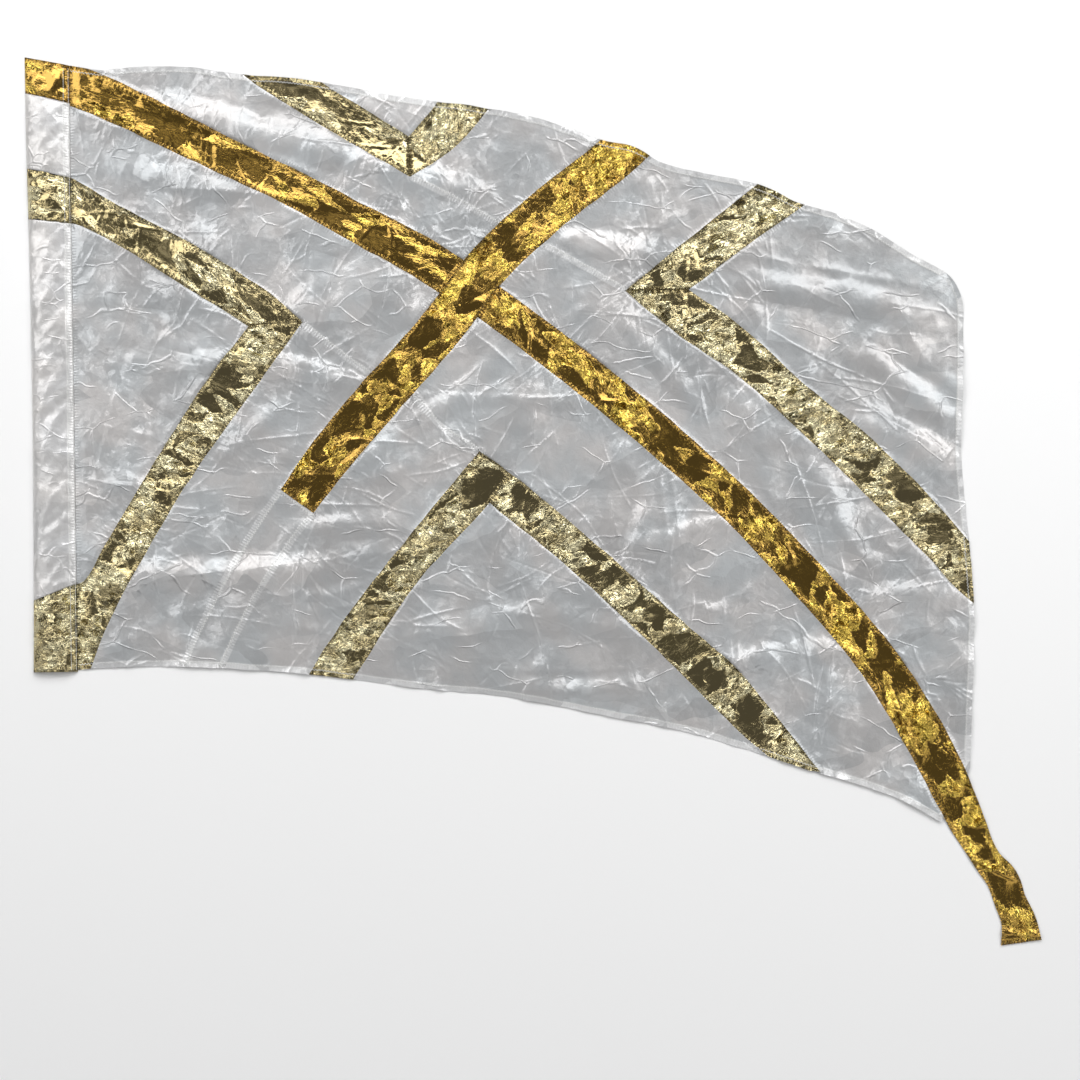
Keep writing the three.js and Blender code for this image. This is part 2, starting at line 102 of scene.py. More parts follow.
def makeStudio():
    world = bpy.data.worlds.new("studio")
    world.use_nodes = True
    background = world.node_tree.nodes["Background"]
    background.inputs["Color"].default_value = (1, 1, 1, 1)
    background.inputs["Strength"].default_value = studio["world"]
    bpy.context.scene.world = world
    for i, (place, size, glow) in enumerate(studio["lamps"]):
        data = bpy.data.lights.new(f"softbox{i}", "AREA")
        data.shape = "RECTANGLE"
        data.size, data.size_y = size
        data.energy = glow * math.pi * data.size * data.size_y
        light = added(f"softbox{i}", data)
        light.location = place
        light.rotation_euler = (-light.location).to_track_quat("-Z", "Y").to_euler()
    side = studio["floorSize"] / 2
    corners = [(x * side, y * side, -studio["floorDrop"]) for x, y in ((-1, -1), (1, -1), (1, 1), (-1, 1))]
    mesh = bpy.data.meshes.new("floor")
    mesh.from_pydata(corners, [], [(0, 1, 2, 3)])
    material = bpy.data.materials.new("floor")
    material.use_nodes = True
    shader = material.node_tree.nodes["Principled BSDF"]
    shader.inputs["Base Color"].default_value = (*studio["floorColour"], 1)
    shader.inputs["Roughness"].default_value = studio["floorRoughness"]
    mesh.materials.append(material)
    added("floor", mesh)


makeCamera()
makeStudio()
print("camera and studio made")


# shader maths

class Wired:
    # a socket whose operators add Math nodes, so that a pattern reads as a formula
    def __init__(self, tree, socket):
        self.tree = tree
        self.socket = socket

    def maths(self, operation, other=None, swapped=False):
        node = self.tree.nodes.new("ShaderNodeMath")
        node.operation = operation
        operands = [self] if other is None else [other, self] if swapped else [self, other]
        for socket, operand in zip(node.inputs, operands):
            if isinstance(operand, Wired):
                self.tree.links.new(operand.socket, socket)
            else:
                socket.default_value = operand
        return Wired(self.tree, node.outputs[0])

    def __add__(self, other): return self.maths("ADD", other)
    def __radd__(self, other): return self.maths("ADD", other)
    def __sub__(self, other): return self.maths("SUBTRACT", other)
    def __rsub__(self, other): return self.maths("SUBTRACT", other, True)
    def __mul__(self, other): return self.maths("MULTIPLY", other)
    def __pow__(self, other): return self.maths("POWER", other)


class Finish:
    # one material: a node tree and the Principled shader at its end
    def __init__(self, name):
        self.material = bpy.data.materials.new(name)
        self.material.use_nodes = True
        self.tree = self.material.node_tree
        self.tree.nodes.clear()
        self.shader = self.tree.nodes.new("ShaderNodeBsdfPrincipled")
        output = self.tree.nodes.new("ShaderNodeOutputMaterial")
        self.tree.links.new(self.shader.outputs[0], output.inputs[0])

    def fill(self, node, values):
        for key, value in values.items():
            if isinstance(value, Wired):
                self.tree.links.new(value.socket, node.inputs[key])
            else:
                node.inputs[key].default_value = value

    def node(self, kind, settings=None, values=None, output=0):
        node = self.tree.nodes.new(kind)
        for key, value in (settings or {}).items():
            setattr(node, key, value)
        self.fill(node, values or {})
        return Wired(self.tree, node.outputs[output])

    def surface(self, **values):
        self.fill(self.shader, {key.replace("_", " "): value for key, value in values.items()})
        return self.material

    def attribute(self, name, output="Fac"):
        return self.node("ShaderNodeAttribute", {"attribute_name": name}, None, output)

    def vector(self, operation, first, second=None, output=0):
        values = {0: first}
        if second is not None:
            values["Scale" if operation == "SCALE" else 1] = second
        return self.node("ShaderNodeVectorMath", {"operation": operation}, values, output)

    def noise(self, place, size, detail=2.0, roughness=0.5, output=0):
        values = {"Vector": place, "Scale": 1 / (size * mm), "Detail": detail, "Roughness": roughness}
        return self.node("ShaderNodeTexNoise", None, values, output)

    def cells(self, place, size, feature="F1", output="Color"):
        values = {"Vector": place, "Scale": 1 / (size * mm)}
        return self.node("ShaderNodeTexVoronoi", {"feature": feature}, values, output)

    def between(self, value, low, high):
        settings = {"interpolation_type": "SMOOTHSTEP", "clamp": True}
        return self.node("ShaderNodeMapRange", settings, {"Value": value, "From Min": low, "From Max": high})

    def colours(self, share, first, second):
        return self.node("ShaderNodeMix", {"data_type": "RGBA"}, {"Factor": share, 6: first, 7: second}, 2)

    def bumped(self, height, depth):
        # height counts in units of depth, in millimetres
        return self.node("ShaderNodeBump", None, {"Height": height, "Distance": depth * mm, "Strength": 1.0})

    def bent(self, place, size, far):
        # the place pushed about by up to far millimetres, so that cells get crooked sides
        push = self.noise(place, size, output="Color")
        return self.vector("ADD", place, self.vector("SCALE", push, far * mm))

    def leaning(self, normal, place, sizes, share):
        # flat facets: each cell leans the normal its own way
        for size, lean in sizes:
            way = self.vector("SUBTRACT", self.cells(place, size), (0.5, 0.5, 0.5))
            normal = self.vector("ADD", normal, self.vector("SCALE", way, share * lean))
        return self.vector("NORMALIZE", normal)

    def seamPlace(self):
        # metres along the nearest seam, away from it, and in from the flag's edge
        parts = self.tree.nodes.new("ShaderNodeSeparateXYZ")
        self.tree.links.new(self.attribute("seamPlace", "Vector").socket, parts.inputs[0])
        return [Wired(self.tree, socket) for socket in parts.outputs]


sewing = {  # metres: a stitch's length, and where a look begins and ends beside a seam or an edge
    "stitch": 0.0042, "hem": (0.007, 0.0105), "pucker": (0.002, 0.009),
    # the ticks with painted shadow in their troughs lie within this span of a seam
    "shadedTicks": (0.004, 0.0095), "tick": (0.0028, 0.009),
}


# dim is a painted shade colour, for the greyer patches that stand in for shaded bands and facets
silkLooks = {
    "silk": {
        "name": "white silk", "cloth": (0.585, 0.59, 0.59, 1), "cool": (0.50, 0.53, 0.55, 1),
        "warm": (0.635, 0.60, 0.585, 1), "double": (0.86, 0.86, 0.86, 1), "dim": (0.38, 0.385, 0.39, 1),
        "metallic": 0.32, "roughness": 0.30, "soft": 9.0, "band": (0.0035, 0.006),
        "facets": [(40, 0.14), (12, 0.12), (6, 0.09)],     # size in millimetres and how far each leans
        "ridges": (52, 0.8),                    # size of the cells that they run around, height
    },
    "sleeve": {
        "name": "sleeve silk", "cloth": (0.70, 0.69, 0.68, 1), "cool": (0.66, 0.665, 0.68, 1),
        "warm": (0.74, 0.71, 0.69, 1), "double": (0.86, 0.86, 0.85, 1), "dim": (0.56, 0.55, 0.54, 1),
        "metallic": 0.35, "roughness": 0.32, "soft": 8.0, "band": (0.009, 0.0105),
        "facets": [(22, 0.16), (10, 0.14)],
        "ridges": (26, 0.5),
    },
}


def silkFinish(look):
    f = Finish(look["name"])
    place = f.node("ShaderNodeTexCoord", None, None, "Object")
    along, away, edge = f.seamPlace()
    # painted sheen: broad cool and warm tints that stand in for the silk's iridescent sheen
    base = f.colours(f.between(f.noise(place, 90), 0.35, 0.65), look["cool"], look["warm"])
    base = f.colours(0.4, base, look["cloth"])
    # paler where the cloth lies double, in hems and seams
    hem = 1 - f.between(edge, *sewing["hem"])
    seam = 1 - f.between(f.attribute("banded"), *look["band"])
    zigzag = (along * (2 * math.pi / sewing["stitch"])).maths("SINE") * 0.5 + 0.5
    grain = f.noise(place, 1.1, 1.0)
    double = hem.maths("MAXIMUM", seam * 0.6) * (0.62 + zigzag * 0.14 + grain * 0.42)
    base = f.colours(double, base, look["double"])
    # painted shade: greyer patches with crooked sides, standing in for the shaded bands and facets of the cloth
    bent = f.bent(place, 60, 26)
    drawn = f.vector("MULTIPLY", bent, (0.5, 1, 1))
    shadePatch = f.vector("LENGTH", f.cells(drawn, 48), None, "Value")
    base = f.colours(f.between(shadePatch, 0.6, 1.25) * 0.5, base, look["dim"])
    # fine ridges here and there, soft crinkles, puckers beside the seams
    size, rise = look["ridges"]
    ridge = 1 - f.between(f.cells(drawn, size, "DISTANCE_TO_EDGE", "Distance"), 0.0, 1.5 / size)
    ridge = ridge * f.between(f.noise(place, size * 0.9, 0.0), 0.46, 0.62) * rise
    soft = f.noise(bent, look["soft"], 2.0, 0.55)
    pucker = zigzag * (1 - f.between(away, *sewing["pucker"]))
    height = ridge + soft * 0.55 + grain * 0.03 + pucker * 0.22 + double * 0.25
    rumpled = f.between(f.noise(place, 130, 1.0), 0.44, 0.62)
    normal = f.leaning(f.bumped(height, 1.0), bent, look["facets"], rumpled * 0.9 + 0.5)
    return f.surface(Base_Color=base, Roughness=look["roughness"] + grain * 0.08, Metallic=look["metallic"],
                     Specular_IOR_Level=0.6, Normal=normal)


# each look's shade colour is painted shade, for foil that lies smooth and for random patches
lameLooks = {
    # each look's darkest colour is painted shadow, for the troughs of the ticks between the stitches
    "dark": {
        "name": "dark gold lame", "foil": (0.92, 0.66, 0.13, 1), "shade": (0.45, 0.28, 0.07, 1),
        "shadedTicks": (0.10, 0.05, 0.012, 1), "facets": [(24, 0.36), (9.5, 0.95), (4.2, 0.65)],
    },
    "pale": {
        "name": "pale gold lame", "foil": (0.82, 0.75, 0.48, 1), "shade": (0.46, 0.38, 0.20, 1),
        "shadedTicks": (0.10, 0.09, 0.05, 1), "facets": [(22, 0.36), (8.5, 1.0), (4.0, 0.65)],
    },
}


def lameFinish(look):
    f = Finish(look["name"])
    place = f.node("ShaderNodeTexCoord", None, None, "Object")
    along, away, edge = f.seamPlace()
    restless = f.attribute("restless")
    bent = f.bent(f.bent(f.attribute("grain", "Vector"), 40, 14), 7, 5)
    grit = f.noise(place, 1.6, 1.0)
    thread = f.noise(place, 0.5, 0.0)
    # ticks between the stitches, along every seam: bumps, with painted shadow in their troughs
    nearSeam = 1 - f.between(away.maths("MINIMUM", edge) + grit * 0.006, *sewing["shadedTicks"])
    length, width = sewing["tick"]
    ticks = f.node("ShaderNodeCombineXYZ", None, {0: along * (1 / length), 1: away * (1 / width)})
    tick = f.node("ShaderNodeTexNoise", None, {"Vector": ticks, "Scale": 1.0, "Detail": 1.0})
    # crumpled foil has sharp lines and leaning facets; smooth foil and random patches are darker, as painted
    # shade
    creased = restless.maths("MAXIMUM", nearSeam * 0.12)
    lines = (1 - (f.noise(bent, 7, 3.0, 0.6) * 2 - 1).maths("ABSOLUTE")) ** 6
    height = (lines * 1.1 + grit * 0.12) * (creased + 0.05) + thread * 0.03 + (tick - 0.5) * nearSeam * 4.0
    normal = f.leaning(f.bumped(height, 1.0), bent, look["facets"], creased)
    # painted shade: the foil is darkened towards the shade colour in random patches and wherever it lies smooth
    shadeShare = f.between(f.noise(bent, 20, 3.0, 0.6), 0.36, 0.60) * 0.85
    shadeShare = shadeShare.maths("MAXIMUM", 1 - f.between(restless, 0.10, 0.85))
    base = f.colours(shadeShare, look["foil"], look["shade"])
    # painted shadow in the ticks' troughs beside the seams
    base = f.colours(nearSeam * f.between(tick, 0.50, 0.44) * 0.9, base, look["shadedTicks"])
    rough = 0.08 + creased * 0.05 + grit * 0.05
    return f.surface(Base_Color=base, Metallic=1.0, Roughness=rough, Normal=normal)


def threadFinish(name, colour):
    f = Finish(name)
    place = f.node("ShaderNodeTexCoord", None, None, "Object")
    twist = f.noise(place, 0.4, 0.0)
    return f.surface(Base_Color=colour, Roughness=0.55 + twist * 0.15, Normal=f.bumped(twist, 0.1))


finishes = {
    "silk": silkFinish(silkLooks["silk"]),
    "sleeve": silkFinish(silkLooks["sleeve"]),
    "dark": lameFinish(lameLooks["dark"]),
    "pale": lameFinish(lameLooks["pale"]),
    "whiteThread": threadFinish("white thread", (0.82, 0.82, 0.80, 1)),
    "goldThread": threadFinish("gold thread", (0.22, 0.17, 0.08, 1)),
}
print("finishes made")


# the cloth's outline and the pieces it is sewn from

flagEdge = {
    "top": [
        (60, 904), (111, 896), (186, 900), (246, 898), (327, 885), (409, 878), (558, 849), (677, 832),
        (766, 813), (855, 781), (908, 769), (951, 744), (1092, 710), (1151, 682), (1211, 663), (1263, 639),
        (1314, 605), (1370, 572), (1389, 541), (1393, 512),
    ],
    "fly": [
        (1393, 512), (1390, 415), (1386, 303), (1392, 221), (1401, 102), (1401, 27), (1397, -62), (1392, -163),
    ],
    "bottom": [
        (1348, -243), (1287, -208), (1221, -183), (1154, -163), (1065, -132), (976, -104), (842, -75),
        (709, -48), (575, -32), (411, -9), (307, 0), (195, 6), (98, 5), (60, 2),
    ],
}
# strips of even width: middle line and width
evenStrips = {
    "cross_strip": [
        (915, 788, 66), (873, 751, 66), (778, 679, 66), (689, 599, 66), (610, 499, 66), (524, 405, 68),
        (445, 314, 66), (396, 249, 60),
    ],
    "long_strip_upper": [
        (-15, 900, 60), (96, 864, 61), (229, 799, 57), (318, 754, 54), (407, 710, 54), (490, 663, 58),
        (584, 611, 61), (660, 561, 60),
    ],
    "long_strip_lower": [
        (660, 561, 60), (687, 541, 57), (811, 445, 57), (932, 343, 57), (1049, 235, 56), (1155, 121, 58),
        (1258, -3, 61), (1336, -134, 64), (1372, -211, 58), (1391, -253, 51), (1416, -301, 41),
        (1439, -331, 49), (1449, -361, 47), (1461, -391, 52), (1465, -424, 61),
    ],
}
footStrip = [(396, 249, 60), (371, 216, 58), (306, 114, 53), (253, 9, 53), (243, -14, 53)]
# chevron arms: their two long edges, from the tips outwards
arms = {
    "chevron_bottom_left": (
        [(669, 320), (569, 203), (457, 63), (413, -4), (404, -20)],
        [(715, 285), (683, 243), (571, 123), (521, 51), (478, -14), (466, -34)],
    ),
    "chevron_bottom_right": (
        [(669, 320), (722, 280), (839, 180), (952, 76), (1046, -9), (1100, -75), (1169, -165)],
        [(660, 270), (683, 243), (785, 157), (876, 72), (961, -13), (1055, -109), (1092, -141), (1110, -160)],
    ),
    "chevron_top_long": (
        [(572, 729), (408, 828), (327, 883), (296, 910)],
        [(570, 790), (513, 827), (454, 864), (400, 905)],
    ),
    "chevron_top_short": (
        [(572, 729), (639, 773), (687, 826), (702, 850)],
        [(570, 790), (608, 833), (628, 860)],
    ),
    "chevron_left_upper": (
        [(408, 516), (360, 559), (233, 642), (141, 691), (70, 734), (50, 742)],
        [(328, 511), (235, 570), (126, 640), (69, 667), (50, 669)],
    ),
    "chevron_left_lower": (
        [(408, 516), (344, 429), (288, 355), (220, 258), (165, 166), (117, 80), (85, 5), (78, -12)],
        [(328, 511), (267, 434), (218, 362), (159, 269), (104, 179), (76, 134), (50, 126), (50, -12)],
    ),
    "chevron_right_upper": (
        [(889, 555), (948, 602), (1062, 691), (1088, 711), (1112, 731)],
        [(984, 555), (1075, 622), (1154, 676), (1178, 694)],
    ),
    "chevron_right_lower": (
        [(889, 555), (970, 487), (1058, 424), (1173, 317), (1248, 241), (1345, 140), (1378, 102), (1412, 74)],
        [(984, 555), (1061, 500), (1159, 408), (1249, 333), (1346, 234), (1392, 179), (1412, 156)],
    ),
}
silkSeams = [
    [(572, 729), (630, 700), (704, 657), (774, 623), (894, 553)],
    [(404, 516), (507, 437), (568, 403), (612, 358), (675, 315)],
]
silkPanels = {  # a point inside each panel
    "panel_top_left": (408, 772), "panel_top_notch": (557, 838), "panel_top_middle": (735, 767),
    "panel_top_right": (883, 661), "panel_fly_corner": (1224, 537), "panel_fly_long": (851, 497),
    "panel_hoist_upper": (331, 654), "panel_hoist_corner": (135, 478), "panel_hoist_lower": (327, 341),
    "panel_foot_strip": (316, 125), "panel_foot_middle": (504, 234), "panel_foot_notch": (725, 67),
    "panel_foot_long": (789, 364),
}
weaving = {
    "seamLine": 66.3,       # where the sleeve ends and the field begins
    "seamReach": 18,        # how far from a seam or an edge its distance counts
    "tailEnd": 1510,        # past everything that lies along x
    "edgeStep": 2.6,        # steps along every outline
    "silkStep": 3.7,        # spacing of points inside the silk and the lame
    "lameStep": 2.35,
    "thickness": 0.35,
}


def walkedAlong(line):
    return np.concatenate([[0], np.cumsum(np.linalg.norm(np.diff(line, axis=0), axis=1))])


def evenly(line, step):
    walked = walkedAlong(line)
    places = np.linspace(0, walked[-1], max(1, math.ceil(walked[-1] / step)) + 1)
    return np.stack([np.interp(places, walked, column) for column in line.T], axis=1)


def upright(x, low, high, step):
    return evenly(np.array([(x, low), (x, high)], float), step)


def leftOf(ahead):
    return np.stack([-ahead[:, 1], ahead[:, 0]], axis=1)


def smoothLine(points, step):
    p = np.array(points, float)
    p = np.vstack([2 * p[0] - p[1], p, 2 * p[-1] - p[-2]])
    u = np.linspace(0, 1, 24, endpoint=False)[:, None]
    parts = []
    for a, b, c, d in zip(p, p[1:], p[2:], p[3:]):
        before, span, after = (math.sqrt(np.linalg.norm(q - r)) for q, r in ((a, b), (b, c), (c, d)))
        leave = ((b - a) / before - (c - a) / (before + span) + (c - b) / span) * span
        arrive = ((c - b) / span - (d - b) / (span + after) + (d - c) / after) * span
        parts.append(b + leave * u + (3 * (c - b) - 2 * leave - arrive) * u**2
                     + (2 * (b - c) + leave + arrive) * u**3)
    return evenly(np.vstack(parts + [p[-2:-1]]), step)


def stripSides(sections, step):
    path = smoothLine(sections, step)
    across = leftOf(np.gradient(path[:, :2], axis=0))
    across *= (path[:, 2] / 2 / np.linalg.norm(across, axis=1))[:, None]
    return path[:, :2] + across, path[:, :2] - across


def closed(step, *lines):
    # one loop of the given lines, counterclockwise, with its straight ends stepped too,
    # and no point twice
    loop = np.vstack(lines)
    x, y = loop.T
    if (x * np.roll(y, -1) - y * np.roll(x, -1)).sum() < 0:
        loop = loop[::-1]
    apart = np.linalg.norm(np.roll(loop, -1, 0) - loop, axis=1)
    parts = np.maximum(1, np.round(apart / step).astype(int))
    stepped = [p + (q - p) * np.arange(n)[:, None] / n for p, q, n in zip(loop, np.roll(loop, -1, 0), parts)]
    return np.vstack([part for part, gap in zip(stepped, apart) if gap > 0.02])


def draftOutlines(step):
    # every piece that has an outline of its own, in the order in which they lie on each other
    outlines = {}
    for name, sections in {**evenStrips, **arms, "panel_foot_strip": footStrip}.items():
        if name in arms:
            left, right = (smoothLine(side, step) for side in sections)
        else:
            left, right = stripSides(sections, step)
        outlines[name] = closed(step, left, right[::-1])
    edge = [smoothLine(flagEdge[side], step) for side in ("top", "fly", "bottom")]
    outlines["field"] = closed(step, edge[0], edge[1][1:], edge[2])
    return outlines


def within(points, outline):
    # which points lie inside, tested only where the outline's box reaches
    box = ((points > outline.min(0)) & (points < outline.max(0))).all(1)
    x, y = points[box].T
    found = np.zeros(len(x), bool)
    for (ax, ay), (bx, by) in zip(outline, np.roll(outline, -1, 0)):
        if ay != by:
            found ^= ((ay > y) != (by > y)) & (x < (bx - ax) * (y - ay) / (by - ay) + ax)
    box[box] = found
    return box


def triangleGrid(low, high, step):
    rows = np.arange(low[1], high[1], step * math.sqrt(3) / 2)
    columns = np.arange(low[0], high[0], step)
    x, y = np.meshgrid(columns, rows)
    x[1::2] += step / 2
    return np.stack([x.ravel(), y.ravel()], axis=1)


def numbered(i, j):
    # one number for each pair of whole numbers
    return i * 100003 + j


def squareOf(points, size, i=0, j=0):
    # a number for the square of that size that each point lies in, or for one beside it
    x, y = np.floor(points / size).astype(np.int64).T
    return numbered(x + i, y + j)


def besideAny(points, others, size):
    # which points have one of the others in their square or in one around it
    taken = squareOf(others, size)
    steps = (-1, 0, 1)
    return np.any([np.isin(squareOf(points, size, i, j), taken) for i in steps for j in steps], axis=0)


def nearestOf(points, others, reach):
    # distance to the nearest of the others and its number, for each point that is within reach
    near = besideAny(points, others, reach)
    tree = kdtree.KDTree(len(others))
    for i, (x, y) in enumerate(others.tolist()):
        tree.insert((x, y, 0), i)
    tree.balance()
    found = [tree.find((x, y, 0)) for x, y in points[near].tolist()]
    away = np.full(len(points), float(reach))
    number = np.zeros(len(points), int)
    away[near] = np.minimum([f[2] for f in found], reach)
    number[near] = [f[1] for f in found]
    return away, number


# relief of the cloth: folds, creases, wrinkles and crumpled foil

folds = [  # height, how far each side slopes down, and crest, as the cloth keeps them from being packed
    (7, 26, [(171, 857), (319, 810), (467, 764), (601, 724), (705, 696)]),
    (6, 24, [(771, 655), (853, 624), (912, 608), (1001, 596)]),
    (5, 24, [(90, 762), (258, 722), (451, 689)]),
    (5, 20, [(90, 467), (209, 453), (299, 458), (403, 447), (507, 425)]),
    (4, 20, [(581, 409), (730, 401), (909, 389)]),
    (4.5, 20, [(90, 300), (169, 273), (274, 267)]),
    (7, 24, [(90, 130), (190, 142), (309, 144), (443, 151), (518, 165)]),
    (5, 20, [(370, 208), (474, 212), (549, 221)]),
    (4, 24, [(546, 40), (665, 60), (785, 69), (904, 34)]),
    (5, 20, [(664, -25), (798, -40), (932, -29)]),
    (7, 22, [(985, 50), (1046, 92), (1106, 139)]),
    (6, 24, [(992, -10), (1082, -1), (1200, 23)]),
    (5, 20, [(890, 170), (980, 197), (1080, 223)]),
    (7, 26, [(1040, 570), (1179, 545), (1268, 528), (1372, 492)]),
    (8, 22, [(1240, 465), (1304, 409), (1370, 355)]),
    (7, 24, [(1225, 360), (1310, 327), (1375, 280)]),
    (5, 20, [(866, 527), (925, 466), (983, 391), (1005, 340)]),
    (4, 22, [(1146, 329), (1190, 239), (1233, 149)]),
    (5, 22, [(445, 280), (535, 338), (626, 396), (731, 491)]),
    (5, 20, [(237, 283), (312, 341), (402, 407)]),
    (5, 20, [(1217, 80), (1292, 98), (1380, 90)]),
    (2.2, 16, [(1385, -296), (1425, -316), (1466, -334)]),
    (6, 9, [(1425, -410), (1462, -411), (1500, -416)]),
]
creases = [  # height, below nought for a valley, how far the cloth bends towards it, and the pressed line
    (-1.6, 9, [(75, 462), (215, 458), (352, 452), (500, 432), (585, 414), (980, 398)]),
    (-1.5, 9, [(75, 300), (170, 275), (445, 216)]),
    (1.6, 8, [(115, 130), (300, 148), (520, 170)]),
    (1.2, 6, [(225, 715), (228, 550)]),
    (-1.0, 6, [(280, 895), (272, 640)]),
    (1.2, 6, [(424, 650), (428, 505)]),
    (1.0, 6, [(545, 700), (540, 540)]),
    (1.0, 6, [(980, 640), (972, 460)]),
    (-1.0, 6, [(650, 560), (645, 420)]),
    (2.2, 8, [(118, 722), (300, 712), (430, 694)]),
    (-1.6, 14, [(75, 545), (200, 535), (300, 512)]),
    (1.6, 12, [(75, 375), (170, 352), (235, 345)]),
    (-1.8, 10, [(340, 480), (450, 455), (560, 420)]),
    (1.8, 5, [(935, 295), (945, 190)]),
    (1.5, 5, [(950, 310), (965, 180)]),
    (1.8, 5, [(665, 165), (690, 60)]),
    (1.5, 5, [(700, 160), (745, 45)]),
    (-2.0, 12, [(720, 665), (850, 655), (960, 640)]),
    (1.8, 12, [(1000, 620), (1180, 585), (1370, 548)]),
    (-2.0, 14, [(1000, 560), (1150, 520), (1380, 500)]),
    (-2.4, 9, [(1245, 480), (1300, 440), (1375, 395)]),
    (2.2, 9, [(1215, 400), (1290, 350), (1385, 300)]),
    (-1.5, 16, [(560, 40), (720, 55), (900, 30)]),
    (1.5, 14, [(600, 0), (780, -10), (930, -5)]),
    (-1.8, 14, [(1070, 105), (1230, 165), (1390, 120)]),
    (1.5, 10, [(1230, 30), (1390, 45)]),
    (1.5, 10, [(1240, -45), (1390, -70)]),
    (-1.5, 12, [(1090, -60), (1300, -170)]),
    (1.4, 10, [(150, 60), (260, 90), (330, 60)]),
    (1.6, 9, [(380, 80), (560, 110), (700, 200)]),
    (2.6, 3.5, [(1390, -296), (1425, -314), (1460, -332)]),
    (1.7, 2.6, [(150, 279), (185, 270), (222, 260)]),    # sharp folds across strips
    (1.7, 2.6, [(275, 462), (310, 458), (350, 452)]),
    (1.7, 2.6, [(233, 655), (232, 575)]),
    (2.0, 2.8, [(747, 503), (745, 455)]),
    (2.0, 2.8, [(849, 393), (890, 387), (931, 380)]),
]
wrinkling = {
    "count": 1500, "fromSeams": 0.36, "seed": 7,
    "across": (70, 1400), "up": (-230, 900),
    "length": (24, 230), "height": (0.35, 1.5), "reach": (1.4, 3.3),
    "leans": [(88, 14, 0.42), (-8, 13, 0.36), (-38, 16, 0.12), (50, 16, 0.10)],  # degrees, spread, share
    "rowSteps": (3.2, 1.5),         # how points are set along a wrinkle and to its sides
}
swelling = {"size": (230, 110), "height": (3.4, 1.6), "seed": 3, "base": 1.1}
pressing = {"facet": (88, 43, 21), "height": (3.8, 2.4, 0.9), "seed": 61}    # wide flat facets of the silk
crumpling = {
    "facet": (15, 8, 4.6), "height": (1.5, 1.0, 0.5), "seed": 21,
    "patch": 23, "patchHeight": 2.4,    # facets that stay smooth or crumple as a whole
}
patchwork = {   # degrees that its patches run at, their length against their width, share that stays smooth
    "cross_strip": (38, 1.3, 0.54), "long_strip_upper": (-24, 2.8, 0.78), "long_strip_lower": (-62, 1.5, 0.50),
    "chevron_bottom_left": (8, 1.5, 0.34), "chevron_bottom_right": (30, 1.6, 0.44),
    "chevron_top_long": (-30, 2.2, 0.52), "chevron_top_short": (50, 1.4, 0.22),
    "chevron_left_upper": (-42, 2.2, 0.50), "chevron_left_lower": (-15, 1.6, 0.34),
    "chevron_right_upper": (22, 1.8, 0.30), "chevron_right_lower": (10, 1.7, 0.40),
    "sleeve_foot": (10, 1.5, 0.2), "sleeve_band": (-8, 2.4, 0.42), "sleeve_corner": (-20, 2.6, 0.62),
}
puckering = {"wave": 6.5, "height": 0.35, "reach": 8}
settling = {   # how relief dies away at seams and the sleeve, and how the hem rolls
    "seamReach": 5, "seamShare": 0.3, "sleeveReach": 16, "hemRoll": 0.5, "hemWidth": 9.5, "sink": 0.45,
}


tableSides = (97, 89)   # cells after which a table of random numbers is used again


def wrapped(i, j):
    return i % tableSides[0], j % tableSides[1]


def smoothNoise(points, size, seed):
    angles = np.random.default_rng(seed).random(tableSides) * 2 * math.pi
    cell = np.floor(points / size).astype(int)
    f = points / size - cell
    s = f**3 * (f * (f * 6 - 15) + 10)

    def corner(i, j):
        angle = angles[wrapped(cell[:, 0] + i, cell[:, 1] + j)]
        return np.cos(angle) * (f[:, 0] - i) + np.sin(angle) * (f[:, 1] - j)

    low = corner(0, 0) * (1 - s[:, 0]) + corner(1, 0) * s[:, 0]
    high = corner(0, 1) * (1 - s[:, 0]) + corner(1, 1) * s[:, 0]
    return 1.5 * (low * (1 - s[:, 1]) + high * s[:, 1])


def facets(points, size, seed):
    # a grid of triangles with random heights at its corners, as in crumpled foil:
    # the height at each point, the fate of the facet that it lies on, and which facet that is
    pick = np.random.default_rng(seed)
    heights = pick.random(tableSides) * 2 - 1
    fates = pick.random((*tableSides, 2))
    warp = [smoothNoise(points, size * 1.7, seed + 1), smoothNoise(points, size * 1.7, seed + 2)]
    p = points + np.stack(warp, axis=1) * size * 0.75
    v = np.stack([p[:, 0] - p[:, 1] / math.sqrt(3), p[:, 1] * 2 / math.sqrt(3)], axis=1) / size
    column, row = np.floor(v).astype(int).T
    f, g = v[:, 0] - column, v[:, 1] - row

    def knot(i, j):
        return heights[wrapped(column + i, row + j)]

    lower = knot(0, 0) + f * (knot(1, 0) - knot(0, 0)) + g * (knot(0, 1) - knot(0, 0))
    upper = knot(1, 1) + (1 - f) * (knot(0, 1) - knot(1, 1)) + (1 - g) * (knot(1, 0) - knot(1, 1))
    isLower = f + g < 1
    fate = fates[(*wrapped(column, row), isLower.astype(int))]
    which = numbered(column, row) * 2 + isLower
    return np.where(isLower, lower, upper), fate, which


def facetRelief(points, sizes, heights, seed):
    layers = enumerate(zip(sizes, heights))
    return sum(height * facets(points, size, seed + 5 * i)[0] for i, (size, height) in layers)


